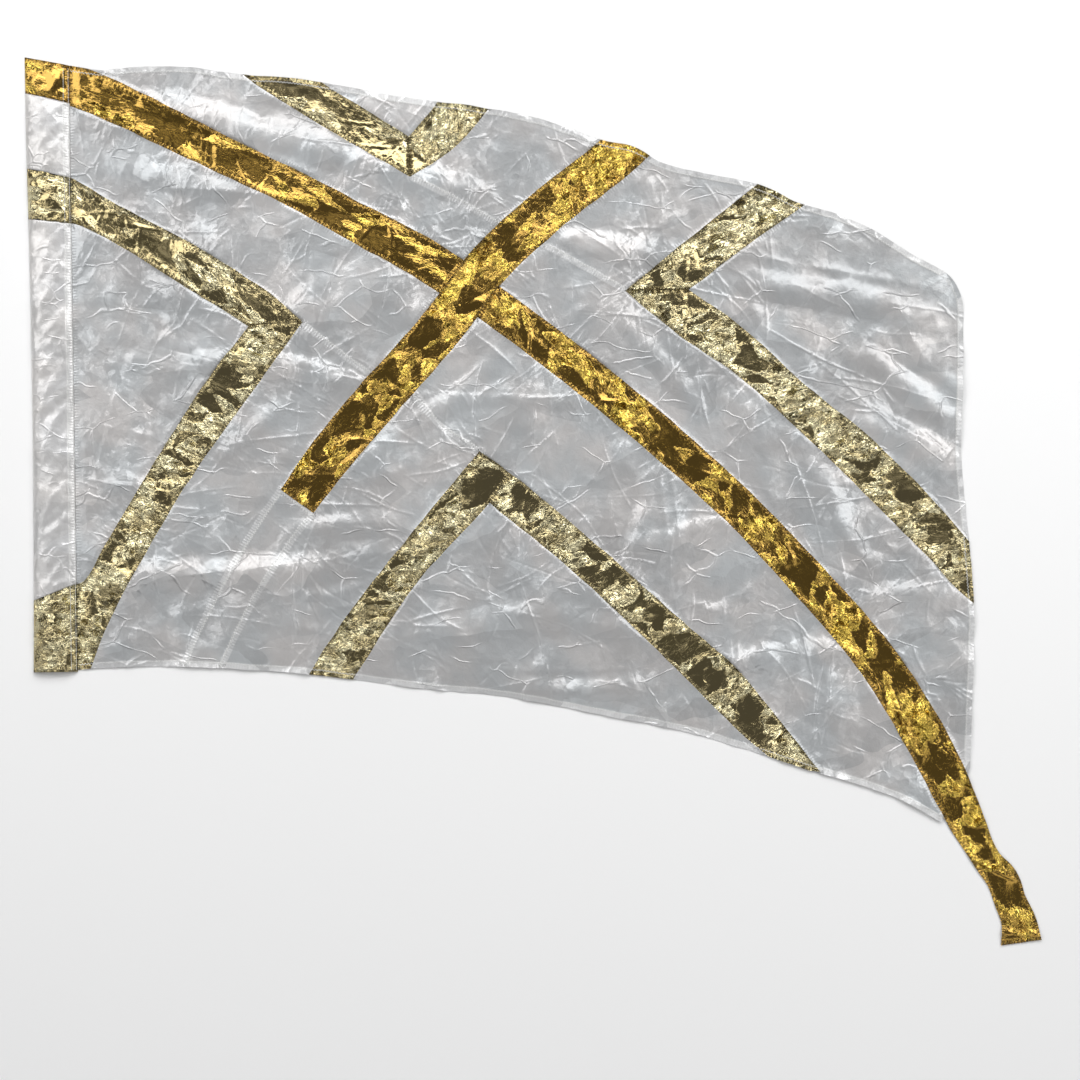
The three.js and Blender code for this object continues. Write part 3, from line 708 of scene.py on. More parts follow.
def nearLine(points, line, reach):
    # which points lie near a line, how far away each is, and at what share of the line's length
    near = np.flatnonzero(((points > line.min(0) - reach) & (points < line.max(0) + reach)).all(1))
    p = points[near]
    best = np.full(len(p), reach, float)
    place = np.zeros(len(p))
    lengths = np.linalg.norm(np.diff(line, axis=0), axis=1)
    for a, b, length, walked in zip(line, line[1:], lengths, np.cumsum(lengths) - lengths):
        t = np.clip((p - a) @ (b - a) / length**2, 0, 1)
        away = np.linalg.norm(p - a - t[:, None] * (b - a), axis=1)
        closer = away < best
        best[closer] = away[closer]
        place[closer] = walked + t[closer] * length
    kept = best < reach
    return near[kept], best[kept], place[kept] / lengths.sum()


def mixed(ends, share):
    low, high = ends
    return low + (high - low) * share


def drawWrinkles():
    # each wrinkle starts at a free place, at a sewn edge, or branches from an earlier one
    sewnLines = [line for name, line in outlines.items() if name != "field"]
    sewnStarts = np.vstack(sewnLines)
    sewnAhead = np.vstack([np.roll(line, -1, 0) - np.roll(line, 1, 0) for line in sewnLines])
    pick = np.random.default_rng(wrinkling["seed"])
    shares = np.array([share for _, _, share in wrinkling["leans"]])
    drawn = []
    for _ in range(wrinkling["count"]):
        grow = pick.random(8)
        x, y = mixed(wrinkling["across"], grow[6]), mixed(wrinkling["up"], grow[7])
        lean, spread, _ = wrinkling["leans"][pick.choice(len(shares), p=shares / shares.sum())]
        lean += spread * pick.standard_normal()
        if drawn and grow[0] < 0.4:
            parent = drawn[int(grow[1] * len(drawn))]
            x, y = parent["line"][1]
            lean = parent["lean"] + math.copysign(18 + 30 * grow[2], grow[3] - 0.5)
        elif grow[0] > 1 - wrinkling["fromSeams"]:
            at = int(grow[1] * len(sewnStarts))
            x, y = sewnStarts[at]
            lean = math.degrees(math.atan2(*sewnAhead[at][::-1])) - 90 + 24 * (grow[2] * 2 - 1)
            grow[4] *= 0.75
        length = mixed(wrinkling["length"], grow[4] ** 2)
        ahead = np.array([math.cos(math.radians(lean)), math.sin(math.radians(lean))])
        side = np.array([-ahead[1], ahead[0]]) * length * 0.08 * (grow[5] * 2 - 1)
        start = np.array([x, y])
        line = np.array([start, start + ahead * length / 2 + side, start + ahead * length])
        height = mixed(wrinkling["height"], pick.random() ** 1.6) * (1 if pick.random() < 0.75 else -0.8)
        reach = mixed(wrinkling["reach"], pick.random()) * 1.6
        drawn.append({"line": line, "lean": lean, "height": height, "reach": reach})
    return drawn


def rising(place):
    # from nought at both ends of a line to one at its middle
    return np.maximum(0, np.sin(math.pi * place))


def foldRelief(points):
    relief = np.zeros(len(points))
    for height, slope, crest in folds:
        reach = slope * 1.25
        near, away, place = nearLine(points, smoothLine(crest, 12), reach)
        rise = height * (1 - (away / reach) ** 2) ** 2 * np.sqrt(rising(place))
        relief[near] = np.maximum(relief[near], rise)
    return relief


def creaseRelief(points, foilPoint):
    # silk bends in a soft curve towards a crease, and foil in a straight one
    relief = np.zeros(len(points))
    for height, reach, line in creases:
        near, away, place = nearLine(points, smoothLine(line, 14), reach * 3)
        thin = np.exp(-away / reach) * (1 - away / reach / 3)
        tent = 1.2 * np.maximum(0, 1 - away / reach / 1.2)
        relief[near] += height * np.where(foilPoint[near], tent, thin) * np.sqrt(rising(place))
    for wrinkle in wrinkles:
        line = evenly(smoothLine(wrinkle["line"], 9), 12)
        near, away, place = nearLine(points, line, wrinkle["reach"])
        relief[near] += wrinkle["height"] * (1 - away / wrinkle["reach"]) ** 2 * rising(place) ** 0.7
    return relief


def swell(points):
    waves = enumerate(zip(swelling["size"], swelling["height"]))
    return sum(height * smoothNoise(points, size, swelling["seed"] + i) for i, (size, height) in waves)


foilSpots = {   # places on the strips and their radius: foil that lies smooth, and foil that is crumpled
    "smooth": [
        (52, 884, 24), (126, 846, 20), (207, 797, 20), (281, 747, 20), (350, 713, 17), (451, 664, 20),
        (517, 632, 15), (632, 593, 15), (736, 490, 15), (854, 396, 17), (950, 332, 25), (997, 289, 17),
        (1053, 244, 15), (1144, 143, 28), (1268, 7, 24), (1290, -34, 15), (1346, -166, 27),
        (1399, -262, 16), (1412, -288, 11), (1435, -340, 18), (1454, -350, 15), (707, 636, 20),
        (658, 545, 17), (580, 498, 21), (534, 439, 21), (479, 376, 15), (423, 280, 20), (486, 808, 20),
        (542, 755, 24), (583, 754, 17), (90, 684, 17), (126, 669, 20), (179, 647, 18), (209, 626, 15),
        (380, 516, 20), (295, 434, 24), (271, 398, 15), (199, 261, 17), (148, 150, 15), (986, 588, 22),
        (934, 568, 15), (1062, 472, 17), (1302, 264, 25), (1353, 192, 24), (1247, 283, 15),
        (663, 264, 20), (728, 243, 22), (872, 132, 22), (926, 76, 20), (1010, -24, 24), (1054, -75, 20),
        (505, 100, 17), (540, 159, 15),
    ],
    "crumpled": [
        (112, 836, 13), (150, 816, 13), (190, 796, 13), (232, 776, 12), (854, 736, 27), (914, 764, 17),
        (802, 699, 20), (681, 626, 20), (627, 508, 20), (702, 529, 20), (790, 456, 20), (893, 365, 17),
        (1085, 203, 24), (1209, 60, 27), (1319, -91, 27), (1364, -198, 16), (1400, -230, 13),
        (1372, -254, 8), (1386, -277, 8), (1396, -299, 6), (1411, -306, 6), (1426, -314, 6),
        (1442, -322, 6), (1451, -376, 13), (1465, -402, 16), (1485, -385, 9), (617, 814, 20),
        (662, 828, 17), (64, 710, 17), (71, 650, 14), (347, 482, 27), (176, 209, 27), (40, 92, 30),
        (130, 105, 17), (1107, 680, 30), (1031, 629, 24), (911, 559, 17), (1029, 495, 20),
        (1147, 389, 27), (578, 188, 30), (472, 56, 27), (787, 200, 20), (1125, -125, 24),
    ],
}


def spotted(points, spots):
    return sum(np.exp(-(np.hypot(points[:, 0] - x, points[:, 1] - y) / radius) ** 4) for x, y, radius in spots)


def patches(points, name):
    # heights of the foil's large facets and how crumpled each is, from near nought up to one
    lean, stretch, smooth = patchwork[name]
    c, s = math.cos(math.radians(lean)), math.sin(math.radians(lean))
    x, y = points.T
    turned = np.stack([(x * c + y * s) / stretch, y * c - x * s], axis=1)
    ragged = np.stack([smoothNoise(points, 10, 45), smoothNoise(points, 10, 46)], axis=1)
    relief, fate, which = facets(turned + 2.2 * ragged, crumpling["patch"], crumpling["seed"])
    _, facet = np.unique(which, return_inverse=True)
    middles = np.stack([np.bincount(facet, column) for column in points.T], axis=1)
    middles /= np.bincount(facet)[:, None]
    wanted = 0.5 * middles[facet] + 0.5 * points + 2 * ragged
    fate = fate + 0.12 * smoothNoise(points, 130, 44) + 0.06 + 0.05 * ragged[:, 0]
    fate += 0.7 * (spotted(wanted, foilSpots["crumpled"]) - spotted(wanted, foilSpots["smooth"]))
    stops = [0, smooth, smooth + 0.05, smooth + 0.3, 1]
    restless = np.interp(fate, stops, [0.03, 0.16, 0.32, 0.75, 1.0])
    return relief * crumpling["patchHeight"], restless, np.pad(turned, ((0, 0), (0, 1)))


def crumple(points):
    return facetRelief(points, crumpling["facet"], crumpling["height"], crumpling["seed"] + 30)


def softFloor(height):
    # cloth that would sink into the floor lies on it instead
    return 0.5 * (height + np.sqrt(height**2 + 0.8))


# the pieced field

outlines = draftOutlines(weaving["edgeStep"])
coarse = draftOutlines(20)
seams = [smoothLine(line, weaving["edgeStep"]) for line in silkSeams]
strips = list(evenStrips) + list(arms)
names = strips + ["panel_foot_strip"]
firstPanel = 100    # the other panels are numbered from here
wrinkles = drawWrinkles()
cloths = {name: "dark" if name in evenStrips else "pale" for name in strips}


def innerPoints():
    tail = coarse["long_strip_lower"]
    low = np.array([coarse["field"][:, 0].min(), tail[:, 1].min()]) - 5
    high = np.array([weaving["tailEnd"], coarse["field"][:, 1].max() + 5])
    foil = triangleGrid(low, high, weaving["lameStep"])
    onFoil = np.zeros(len(foil), bool)
    for name in strips:
        onFoil |= within(foil, coarse[name])
    foil = foil[onFoil & (within(foil, coarse["field"]) | within(foil, tail))]
    silk = triangleGrid(low, high, weaving["silkStep"])
    silk = silk[within(silk, coarse["field"])]
    along, aside = wrinkling["rowSteps"]
    rows = []
    for wrinkle in wrinkles:
        line = smoothLine(wrinkle["line"], along)
        ahead = np.gradient(line, axis=0)
        side = leftOf(ahead) / np.linalg.norm(ahead, axis=1)[:, None]
        rows += [line + side * offset for offset in (0, -aside, aside, -2.4 * aside, 2.4 * aside)]
    rows = np.vstack(rows)
    rows = rows[within(rows, coarse["field"])]
    for name in strips:
        silk = silk[~within(silk, coarse[name])]
        rows = rows[~within(rows, coarse[name])]
    return foil, silk, rows


def thinned(points, size):
    # at most one point in each square of that size, the earlier ones first
    _, first = np.unique(squareOf(points, size), return_index=True)
    return points[np.sort(first)]


def keepAway(points, others, distance):
    return points[~besideAny(points, others, distance / math.sqrt(2))]


def piecedField():
    # one flat triangulation that all pieces share, so that neighbours meet point to point
    foil, silk, rows = innerPoints()
    lines = seams + [upright(weaving["seamLine"], -30, 930, weaving["edgeStep"])]
    edgePoints = np.vstack(list(outlines.values()) + lines)
    rows = keepAway(thinned(rows, 1.5), edgePoints, 1.5)
    silk = keepAway(keepAway(silk, edgePoints, 2.0), rows, 1.9)
    foil = keepAway(foil, edgePoints, 1.4)
    inner = np.vstack([foil, silk, rows])
    inner = inner[inner[:, 0] > weaving["seamLine"] + 1]
    points = list(edgePoints) + list(inner)
    faces, edges, start = [], [], 0
    for outline in outlines.values():
        faces.append(list(range(start, start + len(outline))))
        start += len(outline)
    for line in lines:
        edges += [(i, i + 1) for i in range(start, start + len(line) - 1)]
        start += len(line)
    made = delaunay_2d_cdt([tuple(p) for p in points], edges, faces, 0, 1e-5)
    places = np.array([tuple(p) for p in made[0]])
    triangles = np.array(made[2])
    cover = made[5]
    field, tail = (list(outlines).index(name) for name in ("field", "long_strip_lower"))
    region = np.array([min(c) if c else -1 for c in cover])
    region[region == field] = len(names)          # silk, not yet told apart
    region[~np.array([field in c or tail in c for c in cover])] = -1
    middle = places[triangles].mean(axis=1)
    region[middle[:, 0] < weaving["seamLine"]] = -1
    seamEdges = {tuple(sorted(edge)) for edge, origin in zip(made[1], made[4])
                 if any(i < len(edges) for i in origin)}
    return places, triangles, region, middle, seamEdges


def sideTable(triangles):
    # the sides that two triangles share: their two ends, and the two triangles
    sides = np.sort(np.stack([triangles, np.roll(triangles, -1, axis=1)], axis=2).reshape(-1, 2), axis=1)
    owner = np.repeat(np.arange(len(triangles)), 3)
    order = np.lexsort((sides[:, 1], sides[:, 0]))
    sides, owner = sides[order], owner[order]
    twin = np.zeros(len(sides), bool)
    twin[:-1] = (sides[1:] == sides[:-1]).all(axis=1)
    first = np.flatnonzero(twin)
    return sides[first], np.stack([owner[first], owner[first + 1]], axis=1)


def tellPanels(triangles, region, middle, seamEdges):
    # silk triangles that join without crossing a seam are one panel
    sides, pairs = sideTable(triangles)
    silk = len(names)
    joins = (region[pairs] == silk).all(axis=1)
    joins &= np.array([(a, b) not in seamEdges for a, b in sides.tolist()])
    pairs = pairs[joins]
    label = np.arange(len(triangles))
    while True:
        before = label.copy()
        low = np.minimum(label[pairs[:, 0]], label[pairs[:, 1]])
        np.minimum.at(label, pairs[:, 0], low)
        np.minimum.at(label, pairs[:, 1], low)
        label = label[label]
        if (label == before).all():
            break
    isSilk = np.flatnonzero(region == silk)
    for i, (name, anchor) in enumerate(silkPanels.items()):
        if name not in names:
            nearest = isSilk[np.argmin(((middle[isSilk] - anchor) ** 2).sum(axis=1))]
            region[label == label[nearest]] = firstPanel + i
    return region


places, triangles, region, middle, seamEdges = piecedField()
region = tellPanels(triangles, region, middle, seamEdges)
pieceNames = {i: name for i, name in enumerate(names)}
pieceNames.update({firstPanel + i: name for i, name in enumerate(silkPanels) if name not in names})
print("field pieced:", len(places), "points,", int((region >= 0).sum()), "triangles")


def seamPlaces():
    # for each point of the field: along the nearest seam, away from it, in from the flag's edge,
    # and away from the nearest seam of silk to silk
    sides, pairs = sideTable(triangles)
    first, second = region[pairs[:, 0]], region[pairs[:, 1]]
    hoistSide = (places[sides][:, :, 0] < weaving["seamLine"] + 0.1).all(axis=1)
    joined = (first != second) & (first >= 0) & (second >= 0)
    sewn = sides[joined | (hoistSide & (np.maximum(first, second) >= 0))]
    outer = sides[((first < 0) != (second < 0)) & ~hoistSide]
    bothSilk = (np.minimum(first, second) >= len(strips)) & (first != second)
    away, edge, banded = (nearestOf(places, places[np.unique(ends)], weaving["seamReach"])[0]
                          for ends in (sewn, outer, sides[bothSilk]))
    curves = list(outlines.values()) + seams + [upright(weaving["seamLine"], 0, 900, weaving["edgeStep"])]
    samples = np.vstack(curves)
    ahead = np.vstack([np.gradient(curve, axis=0) for curve in curves])
    ahead /= np.maximum(np.linalg.norm(ahead, axis=1), 1e-9)[:, None]
    walked = np.concatenate([walkedAlong(curve) for curve in curves])
    _, nearest = nearestOf(places, samples, weaving["seamReach"])
    along = walked[nearest] + ((places - samples[nearest]) * ahead[nearest]).sum(axis=1)
    return along, away, edge, banded


along, away, edge, banded = seamPlaces()
foilPoint = np.zeros(len(places), bool)
restless, patchRelief = np.zeros((2, len(places)))
grain = np.zeros((len(places), 3))
for number, name in enumerate(strips):
    own = np.unique(triangles[region == number])
    foilPoint[own] = True
    patchRelief[own], restless[own], grain[own] = patches(places[own], name)


def fieldHeights():
    nearSeam = np.minimum(away, edge)
    settled = softFloor(foldRelief(places) + swell(places))
    fine = creaseRelief(places, foilPoint)
    start = settling["seamShare"]
    inner = start + (1 - start) * np.clip(nearSeam / settling["seamReach"], 0, 1)
    fine += foilPoint * inner * (restless * crumple(places) + patchRelief)
    fine += ~foilPoint * facetRelief(places, pressing["facet"], pressing["height"], pressing["seed"])
    pucker = np.sin(2 * math.pi * along / puckering["wave"] + 2 * smoothNoise(places, 30, 60))
    fine += puckering["height"] * pucker * np.exp(-(nearSeam / puckering["reach"]) ** 2)
    rolled = settling["hemRoll"] * np.clip(1 - edge / settling["hemWidth"], 0, 1) ** 0.5
    sleeveSide = np.clip((places[:, 0] - weaving["seamLine"]) / settling["sleeveReach"], 0, 1)
    height = (settled + fine + rolled) * sleeveSide
    return softFloor(height + swelling["base"] * (0.4 + 0.6 * sleeveSide) - settling["sink"])


def wavered(points):
    # seams and edges that aren't quite straight
    push = np.stack([smoothNoise(points, 34, 80), smoothNoise(points, 34, 81)], axis=1)
    return points + push * (np.clip((points[:, 0] - weaving["seamLine"]) / 20, 0, 1) * 0.9)[:, None]


surface = np.column_stack([wavered(places), fieldHeights()])
print("relief shaped, highest", round(float(surface[:, 2].max()), 1), "mm")


def clothOf(name, points, faces, material, attributes, sharp=None):
    # a cloth's object, its mesh in metres from points in millimetres
    mesh = bpy.data.meshes.new(name)
    mesh.vertices.add(len(points))
    mesh.vertices.foreach_set("co", (points * mm + draftCorner).astype(np.float32).ravel())
    mesh.loops.add(faces.size)
    mesh.loops.foreach_set("vertex_index", faces.astype(np.int32).ravel())
    mesh.polygons.add(len(faces))
    mesh.polygons.foreach_set("loop_start", np.arange(len(faces), dtype=np.int32) * faces.shape[1])
    mesh.update(calc_edges=True)
    mesh.polygons.foreach_set("use_smooth", np.ones(len(faces), bool))
    for key, values in attributes.items():
        kind, slot = ("FLOAT_VECTOR", "vector") if values.ndim == 2 else ("FLOAT", "value")
        attribute = mesh.attributes.new(key, kind, "POINT")
        attribute.data.foreach_set(slot, values.astype(np.float32).ravel())
    if sharp is not None:
        ends = np.zeros(len(mesh.edges) * 2, np.int32)
        mesh.edges.foreach_get("vertices", ends)
        mesh.edges.foreach_set("use_edge_sharp", sharp[ends.reshape(-1, 2)].all(axis=1))
    mesh.materials.append(material)
    mesh.validate()
    return added(name + "_cloth", mesh)


def declare(obj, node):
    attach(obj, "root")
    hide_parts(node)


def flatBox(points):
    # sides of the smallest rectangle that holds the points, in metres
    best = None
    for angle in np.radians(np.arange(0, 90, 2)):
        turned = points @ np.array([[math.cos(angle), -math.sin(angle)], [math.sin(angle), math.cos(angle)]])
        sides = np.ptp(turned, axis=0) * mm
        if best is None or sides.prod() < best.prod():
            best = sides
    return tuple(float(side) for side in best)


def sewPiece(number, name):
    # an upper side, a lower side and a wall around the rim
    kind = cloths.get(name, "silk")
    faces = triangles[region == number]
    used, local = np.unique(faces, return_inverse=True)
    faces = local.reshape(-1, 3)
    a, b, c = (places[used][faces[:, k]] for k in range(3))
    signed = ((b - a)[:, 0] * (c - a)[:, 1] - (b - a)[:, 1] * (c - a)[:, 0]) / 2
    faces[signed < 0] = faces[signed < 0][:, ::-1]
    area = float(np.abs(signed).sum()) * mm**2
    count = len(used)
    top = surface[used] + (0, 0, weaving["thickness"])
    directed = np.stack([faces, np.roll(faces, -1, axis=1)], axis=2).reshape(-1, 2)
    known = set(map(tuple, directed.tolist()))
    rim = np.array([(i, j) for i, j in directed.tolist() if (j, i) not in known])
    wall = np.vstack([np.column_stack([rim[:, 1], rim[:, 0], rim[:, 0] + count]),
                      np.column_stack([rim[:, 1], rim[:, 0] + count, rim[:, 1] + count])])
    allFaces = np.vstack([faces, faces[:, ::-1] + count, wall])
    onRim = np.zeros(2 * count, bool)
    onRim[rim.ravel()] = True
    onRim[rim.ravel() + count] = True

    def both(values):
        # the same values above and below
        return np.concatenate([values[used], values[used]])

    attributes = {"seamPlace": both(np.column_stack([along, away, edge]) * mm)}
    if kind == "silk":
        attributes["banded"] = both(banded * mm)
    else:
        attributes["restless"] = both(restless)
        attributes["grain"] = both(grain * mm)
    obj = clothOf(name, np.vstack([top, surface[used]]), allFaces, finishes[kind], attributes, onRim)
    flat = flatBox(places[used])
    if name in strips:      # as long and wide as a band of the same area and rim
        rimLength = float(np.linalg.norm(places[used][rim[:, 0]] - places[used][rim[:, 1]], axis=1).sum()) * mm
        long = (rimLength + math.sqrt(max(rimLength**2 - 16 * area, 0))) / 4
        flat, area = (area / long, long), None
    declare(obj, name)
    return len(allFaces)


total = sum(sewPiece(number, name) for number, name in pieceNames.items())
print("pieces sewn:", total, "triangles")


# the pole sleeve: a flattened tube, puffed up above

sleeve = {
    "width": 66, "length": 916, "crown": 11, "closedTop": 4.5, "closing": 95,
    "foldBow": 4, "bowLength": 800, "puff": 0.8, "puffWave": 230, "wall": 0.5,
    "rowStep": 3.0, "columns": 26, "edgeHeight": 1.0,
    "sections": [
        {"name": "sleeve_foot", "cloth": "pale", "top": 106, "slope": 0.375},
        {"name": "sleeve_long", "cloth": "sleeve", "top": 674.5, "slope": -0.11},
        {"name": "sleeve_band", "cloth": "pale", "top": 750, "slope": -0.22},
        {"name": "sleeve_upper", "cloth": "sleeve", "top": 862, "slope": -0.235},
        {"name": "sleeve_corner", "cloth": "dark", "top": 916, "slope": -0.2},
    ],
}


def sleeveTop(share, x, y, foil):
    crown = sleeve["crown"] + sleeve["puff"] * np.sin(2 * math.pi * y / sleeve["puffWave"])
    t = np.clip((y - sleeve["length"] + sleeve["closing"]) / sleeve["closing"], 0, 1)
    crown = crown + (sleeve["closedTop"] - crown) * t * t * (3 - 2 * t)
    slanted = np.stack([x * 0.75 - y * 0.66, (x * 0.66 + y * 0.75) * 0.30], axis=1)
    ridges = 1 - 2 * np.abs(smoothNoise(slanted, 24, 90))
    puffs = 1.5 * ridges + 0.9 * smoothNoise(slanted * 1.9, 24, 91)
    puffs += facetRelief(np.stack([x, y], axis=1), (19, 9), (1.1, 0.6), 92)
    if foil:
        puffs += 0.8 * crumple(np.stack([x, y], axis=1))
    room = np.clip(share / 0.12, 0, 1) * np.clip((1 - share) / 0.2, 0, 1)
    return sleeve["edgeHeight"] * share + crown * np.sqrt(rising(share)) * (1 - 0.35 * share) + puffs * room


def sleeveSection(section, low, high):
    isFoot, isCorner = low["top"] == 0, high["top"] == sleeve["length"]
    # columns of points across the sleeve's flat width, rows along it
    rows = max(3, round((high["top"] - low["top"]) / sleeve["rowStep"]))
    t = np.linspace(0, 1, rows + 1)[:, None]
    y0 = low["top"] + (high["top"] - low["top"]) * t
    slope = low["slope"] + (high["slope"] - low["slope"]) * t
    share = (1 - np.cos(math.pi * np.linspace(0, 1, sleeve["columns"])))[None, :] / 2
    share = 0.5 * share + 0.5 * np.linspace(0, 1, sleeve["columns"])[None, :]
    bow = sleeve["foldBow"] * np.maximum(0, np.sin(math.pi * y0 / sleeve["bowLength"]))
    x = bow + (sleeve["width"] - bow) * share
    y = y0 + slope * x
    share = np.broadcast_to(share, x.shape)
    z = sleeveTop(share.ravel(), x.ravel(), y.ravel(), section["cloth"] != "sleeve").reshape(x.shape)
    z = np.maximum(z, 0.9)
    wall = sleeve["wall"]
    inset = 0.8 + x * (1 - 1.6 / sleeve["width"])
    outer = [np.stack([x, y, np.zeros_like(x)], 2), np.stack([x, y, z], 2)[:, ::-1]]
    inner = [np.stack([inset, y, np.full_like(x, wall * 0.6)], 2),
             np.stack([inset, y, np.maximum(z - wall, wall * 0.6 + 0.1)], 2)[:, ::-1]]
    if isCorner:
        for shell in inner:
            shell[-1, :, 1] -= 2
    shells = [np.concatenate(pair, axis=1).reshape(-1, 3) for pair in (outer, inner)]
    points = np.vstack(shells)
    # the tube's walls, and a rim or a closed end where it stops
    size, offset, last = 2 * sleeve["columns"], len(shells[0]), rows * 2 * sleeve["columns"]
    i, k = np.meshgrid(np.arange(rows), np.arange(size), indexing="ij")
    a, b = (i * size + k).ravel(), (i * size + (k + 1) % size).ravel()
    c, d = b + size, a + size
    ring = np.arange(size)
    after = (ring + 1) % size
    faces = [np.column_stack([a, b, c, d]), np.column_stack([a, d, c, b]) + offset,
             np.column_stack([after, ring, ring + offset, after + offset])]
    if isCorner:
        k = np.arange(sleeve["columns"] - 1)
        cap = np.column_stack([last + k, last + k + 1, last + size - 2 - k, last + size - 1 - k])
        faces += [cap, cap[:, ::-1] + offset]
    else:
        faces.append(np.column_stack([ring, after, after + offset, ring + offset]) + last)
    faces = np.vstack(faces)
    sleeveShells.append((points, faces))
    # where each point lies from the section's joints, the sleeve's seam and its two ends
    x, y = points[:, 0], points[:, 1]
    joint = np.minimum(y - low["top"] - low["slope"] * x, high["top"] + high["slope"] * x - y)
    side = sleeve["width"] - x
    rimAway = y if isFoot else sleeve["length"] - y if isCorner else np.full(len(y), 1e3)
    seamPlace = [np.where(joint < side, x, y), np.minimum(joint, side), np.maximum(rimAway, 0)]
    attributes = {"seamPlace": np.column_stack(seamPlace) * mm, "banded": side * mm}
    if section["cloth"] != "sleeve":
        _, attributes["restless"], turned = patches(points[:, :2], section["name"])
        attributes["grain"] = turned * mm
    obj = clothOf(section["name"], points, faces, finishes[section["cloth"]], attributes)
    girth = float(np.linalg.norm(np.diff(points[:size], axis=0), axis=1).sum()) * mm
    flat = (girth, (high["top"] - low["top"]) * mm)
    declare(obj, section["name"])
    return len(faces) * 2


sleeveShells = []
starts = [{"top": 0, "slope": 0}] + sleeve["sections"]
total = sum(sleeveSection(high, low, high) for low, high in zip(starts, sleeve["sections"]))
print("sleeve made:", total, "triangles")


# stitches: one row mesh for each kind, and a node group that sews along it

stitching = {   # millimetres; inset is how far in from the piece's edge the row runs
    "strip_stitches": {"thread": "goldThread", "pitch": 3.3, "length": 3.6, "thick": 0.20, "rise": 0.35,
                       "angle": 62, "inset": 2.0},
    "hem_stitches": {"thread": "whiteThread", "pitch": 2.3, "length": 3.8, "thick": 0.28, "rise": 0.35,
                     "angle": 42, "inset": 7.6},
    "seam_stitches": {"thread": "whiteThread", "pitch": 2.2, "length": 4.6, "thick": 0.28, "rise": 0.35,
                      "angle": 48, "inset": 2.6},
    "sleeve_stitches": {"thread": "whiteThread", "pitch": 3.3, "length": 2.6, "thick": 0.30, "rise": 0.30,
                        "angle": 0, "columns": (57.5, 64.5)},
}
threadLift = 0.05       # of the rows above the cloth


def stitchNodes():
    tree = bpy.data.node_groups.new("stitches along rows", "GeometryNodeTree")
    sockets = {"Rows": "Geometry", "Pitch": "Float", "Length": "Float", "Thick": "Float", "Rise": "Float",
               "Angle": "Float", "Seed": "Int", "Thread": "Material"}
    for name, kind in sockets.items():
        tree.interface.new_socket(name, in_out="INPUT", socket_type="NodeSocket" + kind)
    tree.interface.new_socket("Stitches", in_out="OUTPUT", socket_type="NodeSocketGeometry")
    given = tree.nodes.new("NodeGroupInput").outputs

    def node(kind, settings=None, **values):
        # an argument is an input's name, or an underscore and the input's number
        made = tree.nodes.new(kind)
        for key, value in (settings or {}).items():
            setattr(made, key, value)
        for key, value in values.items():
            socket = made.inputs[int(key[1:]) if key[0] == "_" else key.replace("_", " ")]
            if isinstance(value, bpy.types.NodeSocket):
                tree.links.new(value, socket)
            else:
                socket.default_value = value
        return made.outputs

    def maths(operation, first, second):
        return node("ShaderNodeMath", {"operation": operation}, _0=first, _1=second)[0]

    # one stitch: a thin rod along x that arches up at its middle
    rod = node("GeometryNodeMeshCylinder", None, Vertices=3, Side_Segments=2,
               Radius=given["Thick"], Depth=given["Length"])["Mesh"]
    rod = node("GeometryNodeTransform", None, Geometry=rod, Rotation=(0, math.pi / 2, 0))[0]
    x = node("ShaderNodeSeparateXYZ", None, _0=node("GeometryNodeInputPosition")[0])[0]
    share = maths("DIVIDE", maths("MULTIPLY", x, 2.0), given["Length"])
    bend = maths("POWER", maths("ABSOLUTE", share, 0.0), 2.0)
    lift = maths("MULTIPLY", maths("SUBTRACT", 1.0, bend), given["Rise"])
    lift = node("ShaderNodeCombineXYZ", None, Z=lift)[0]
    rod = node("GeometryNodeSetPosition", None, Geometry=rod, Offset=lift)[0]
    # points along every row, each turned the other way from the one before it
    rows = node("GeometryNodeMeshToCurve", None, Mesh=given["Rows"])[0]
    rows = node("GeometryNodeResampleCurve", {"mode": "LENGTH"}, Curve=rows, Length=given["Pitch"])[0]
    sewn = node("GeometryNodeCurveToPoints", {"mode": "EVALUATED"}, Curve=rows)
    turning = "FunctionNodeAlignRotationToVector"
    level = node(turning, {"axis": "X", "pivot_axis": "Z"}, Vector=sewn["Tangent"])[0]
    sloped = node(turning, {"axis": "X", "pivot_axis": "Y"}, Rotation=level, Vector=sewn["Tangent"])[0]
    odd = maths("MODULO", node("GeometryNodeInputIndex")[0], 2.0)
    angle = maths("MULTIPLY", maths("SUBTRACT", maths("MULTIPLY", odd, 2.0), 1.0), given["Angle"])
    stray = node("FunctionNodeRandomValue", {"data_type": "FLOAT"}, Min=-0.12, Max=0.12, Seed=given["Seed"])
    stray = [socket for socket in stray if socket.enabled][0]
    zigzag = node("ShaderNodeCombineXYZ", None, Z=maths("ADD", angle, stray))[0]
    turn = node("FunctionNodeEulerToRotation", None, _0=zigzag)[0]
    turned = node("FunctionNodeRotateRotation", {"rotation_space": "LOCAL"}, Rotation=sloped, Rotate_By=turn)[0]
    stitches = node("GeometryNodeInstanceOnPoints", None, Points=sewn["Points"], Instance=rod,
                    Rotation=turned)[0]
    stitches = node("GeometryNodeRealizeInstances", None, Geometry=stitches)[0]
    stitches = node("GeometryNodeSetMaterial", None, Geometry=stitches, Material=given["Thread"])[0]
    tree.links.new(stitches, tree.nodes.new("NodeGroupOutput").inputs[0])
    return tree


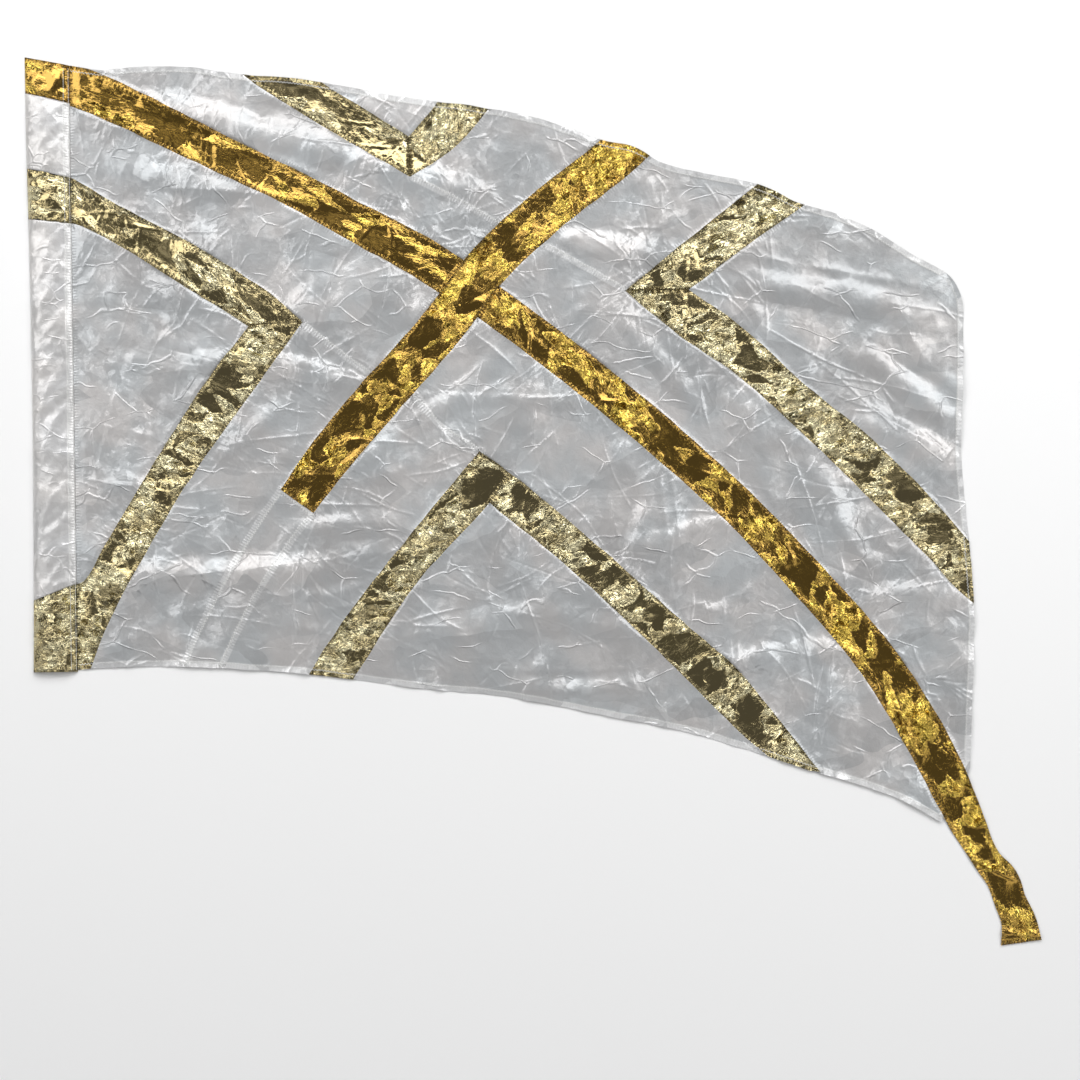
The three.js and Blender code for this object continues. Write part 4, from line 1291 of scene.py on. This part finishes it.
stitchTree = stitchNodes()
onCloth = region >= 0
clothTree = BVHTree.FromPolygons(surface.tolist(), triangles[onCloth].tolist())
clothPieces = region[onCloth]
sleevePoints = np.vstack([points for points, faces in sleeveShells])
offsets = np.cumsum([0] + [len(points) for points, faces in sleeveShells])
sleeveFaces = np.vstack([faces + offset for (points, faces), offset in zip(sleeveShells, offsets)])
sleeveTree = BVHTree.FromPolygons(sleevePoints.tolist(), sleeveFaces.tolist())


def settle(line, tree, lift):
    # the line laid on the cloth, and the number of the face below each of its points
    hits = [tree.ray_cast((x, y, 60), (0, 0, -1)) for x, y in line.tolist()]
    number = np.array([-1 if hit[0] is None else hit[2] for hit in hits])
    high = np.array([0.0 if hit[0] is None else hit[0][2] for hit in hits])
    return np.column_stack([line, high + lift]), number


def runs(line, shown):
    # the parts of the line that are shown, three points or longer
    parts = np.split(np.arange(len(line)), np.flatnonzero(np.diff(shown.astype(int))) + 1)
    return [line[part] for part in parts if shown[part[0]] and len(part) > 2]


def insetLine(line, inset, loop):
    side = leftOf(np.roll(line, -1, 0) - np.roll(line, 1, 0) if loop else np.gradient(line, axis=0))
    return line + side / np.maximum(np.linalg.norm(side, axis=1), 1e-9)[:, None] * inset


def onPieces(line, inset, loop, wanted):
    # the parts of an inset line that lie on the wanted pieces
    lifted, face = settle(wavered(insetLine(line, inset, loop)), clothTree, weaving["thickness"] + threadLift)
    piece = np.where(face < 0, -1, clothPieces[face])
    return runs(lifted, np.isin(piece, wanted) & (lifted[:, 0] > weaving["seamLine"] + 2))


def stitchRows():
    hemmed = [number for number, name in pieceNames.items() if name != "long_strip_lower"]
    silk = [number for number in pieceNames if number >= len(strips)]
    sewn = [("strip_stitches", outlines[name], True, [number]) for number, name in enumerate(strips)]
    sewn.append(("hem_stitches", outlines["field"], True, hemmed))
    sewn += [("seam_stitches", line, False, silk) for line in seams]
    sewn.append(("seam_stitches", outlines["panel_foot_strip"], True, [len(strips)]))
    rows = {name: [] for name in stitching}
    for name, line, loop, wanted in sewn:
        rows[name] += onPieces(line, stitching[name]["inset"], loop, wanted)
    for x in stitching["sleeve_stitches"]["columns"]:
        lifted, face = settle(upright(x, 4, 898, 3), sleeveTree, threadLift)
        rows["sleeve_stitches"] += runs(lifted, face >= 0)
    return rows


def sewRows(name, spec, rows, seed):
    # the rows as bare edges, sewn along by the node group and kept as one plain mesh
    mesh = bpy.data.meshes.new(name)
    starts = np.cumsum([0] + [len(row) for row in rows])
    edges = [(i, i + 1) for start, end in zip(starts, starts[1:]) for i in range(start, end - 1)]
    mesh.from_pydata((np.vstack(rows) * mm + draftCorner).tolist(), edges, [])
    guide = added(name, mesh)
    modifier = guide.modifiers.new("stitches", "NODES")
    modifier.node_group = stitchTree
    values = {name.title(): spec[name] * mm for name in ("pitch", "length", "thick", "rise")}
    values.update({"Angle": math.radians(spec["angle"]), "Seed": seed, "Thread": finishes[spec["thread"]]})
    for socket in stitchTree.interface.items_tree:
        if socket.name in values:
            modifier[socket.identifier] = values[socket.name]
    guide.update_tag()
    evaluated = guide.evaluated_get(bpy.context.evaluated_depsgraph_get())
    sewn = bpy.data.meshes.new_from_object(evaluated)
    guide.modifiers.clear()
    bpy.data.objects.remove(guide)
    obj = added(name, sewn)
    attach(obj, "root")
    return sum(len(polygon.vertices) - 2 for polygon in sewn.polygons)


for seed, (name, rows) in enumerate(stitchRows().items()):
    print(name, sewRows(name, stitching[name], rows, seed), "triangles")
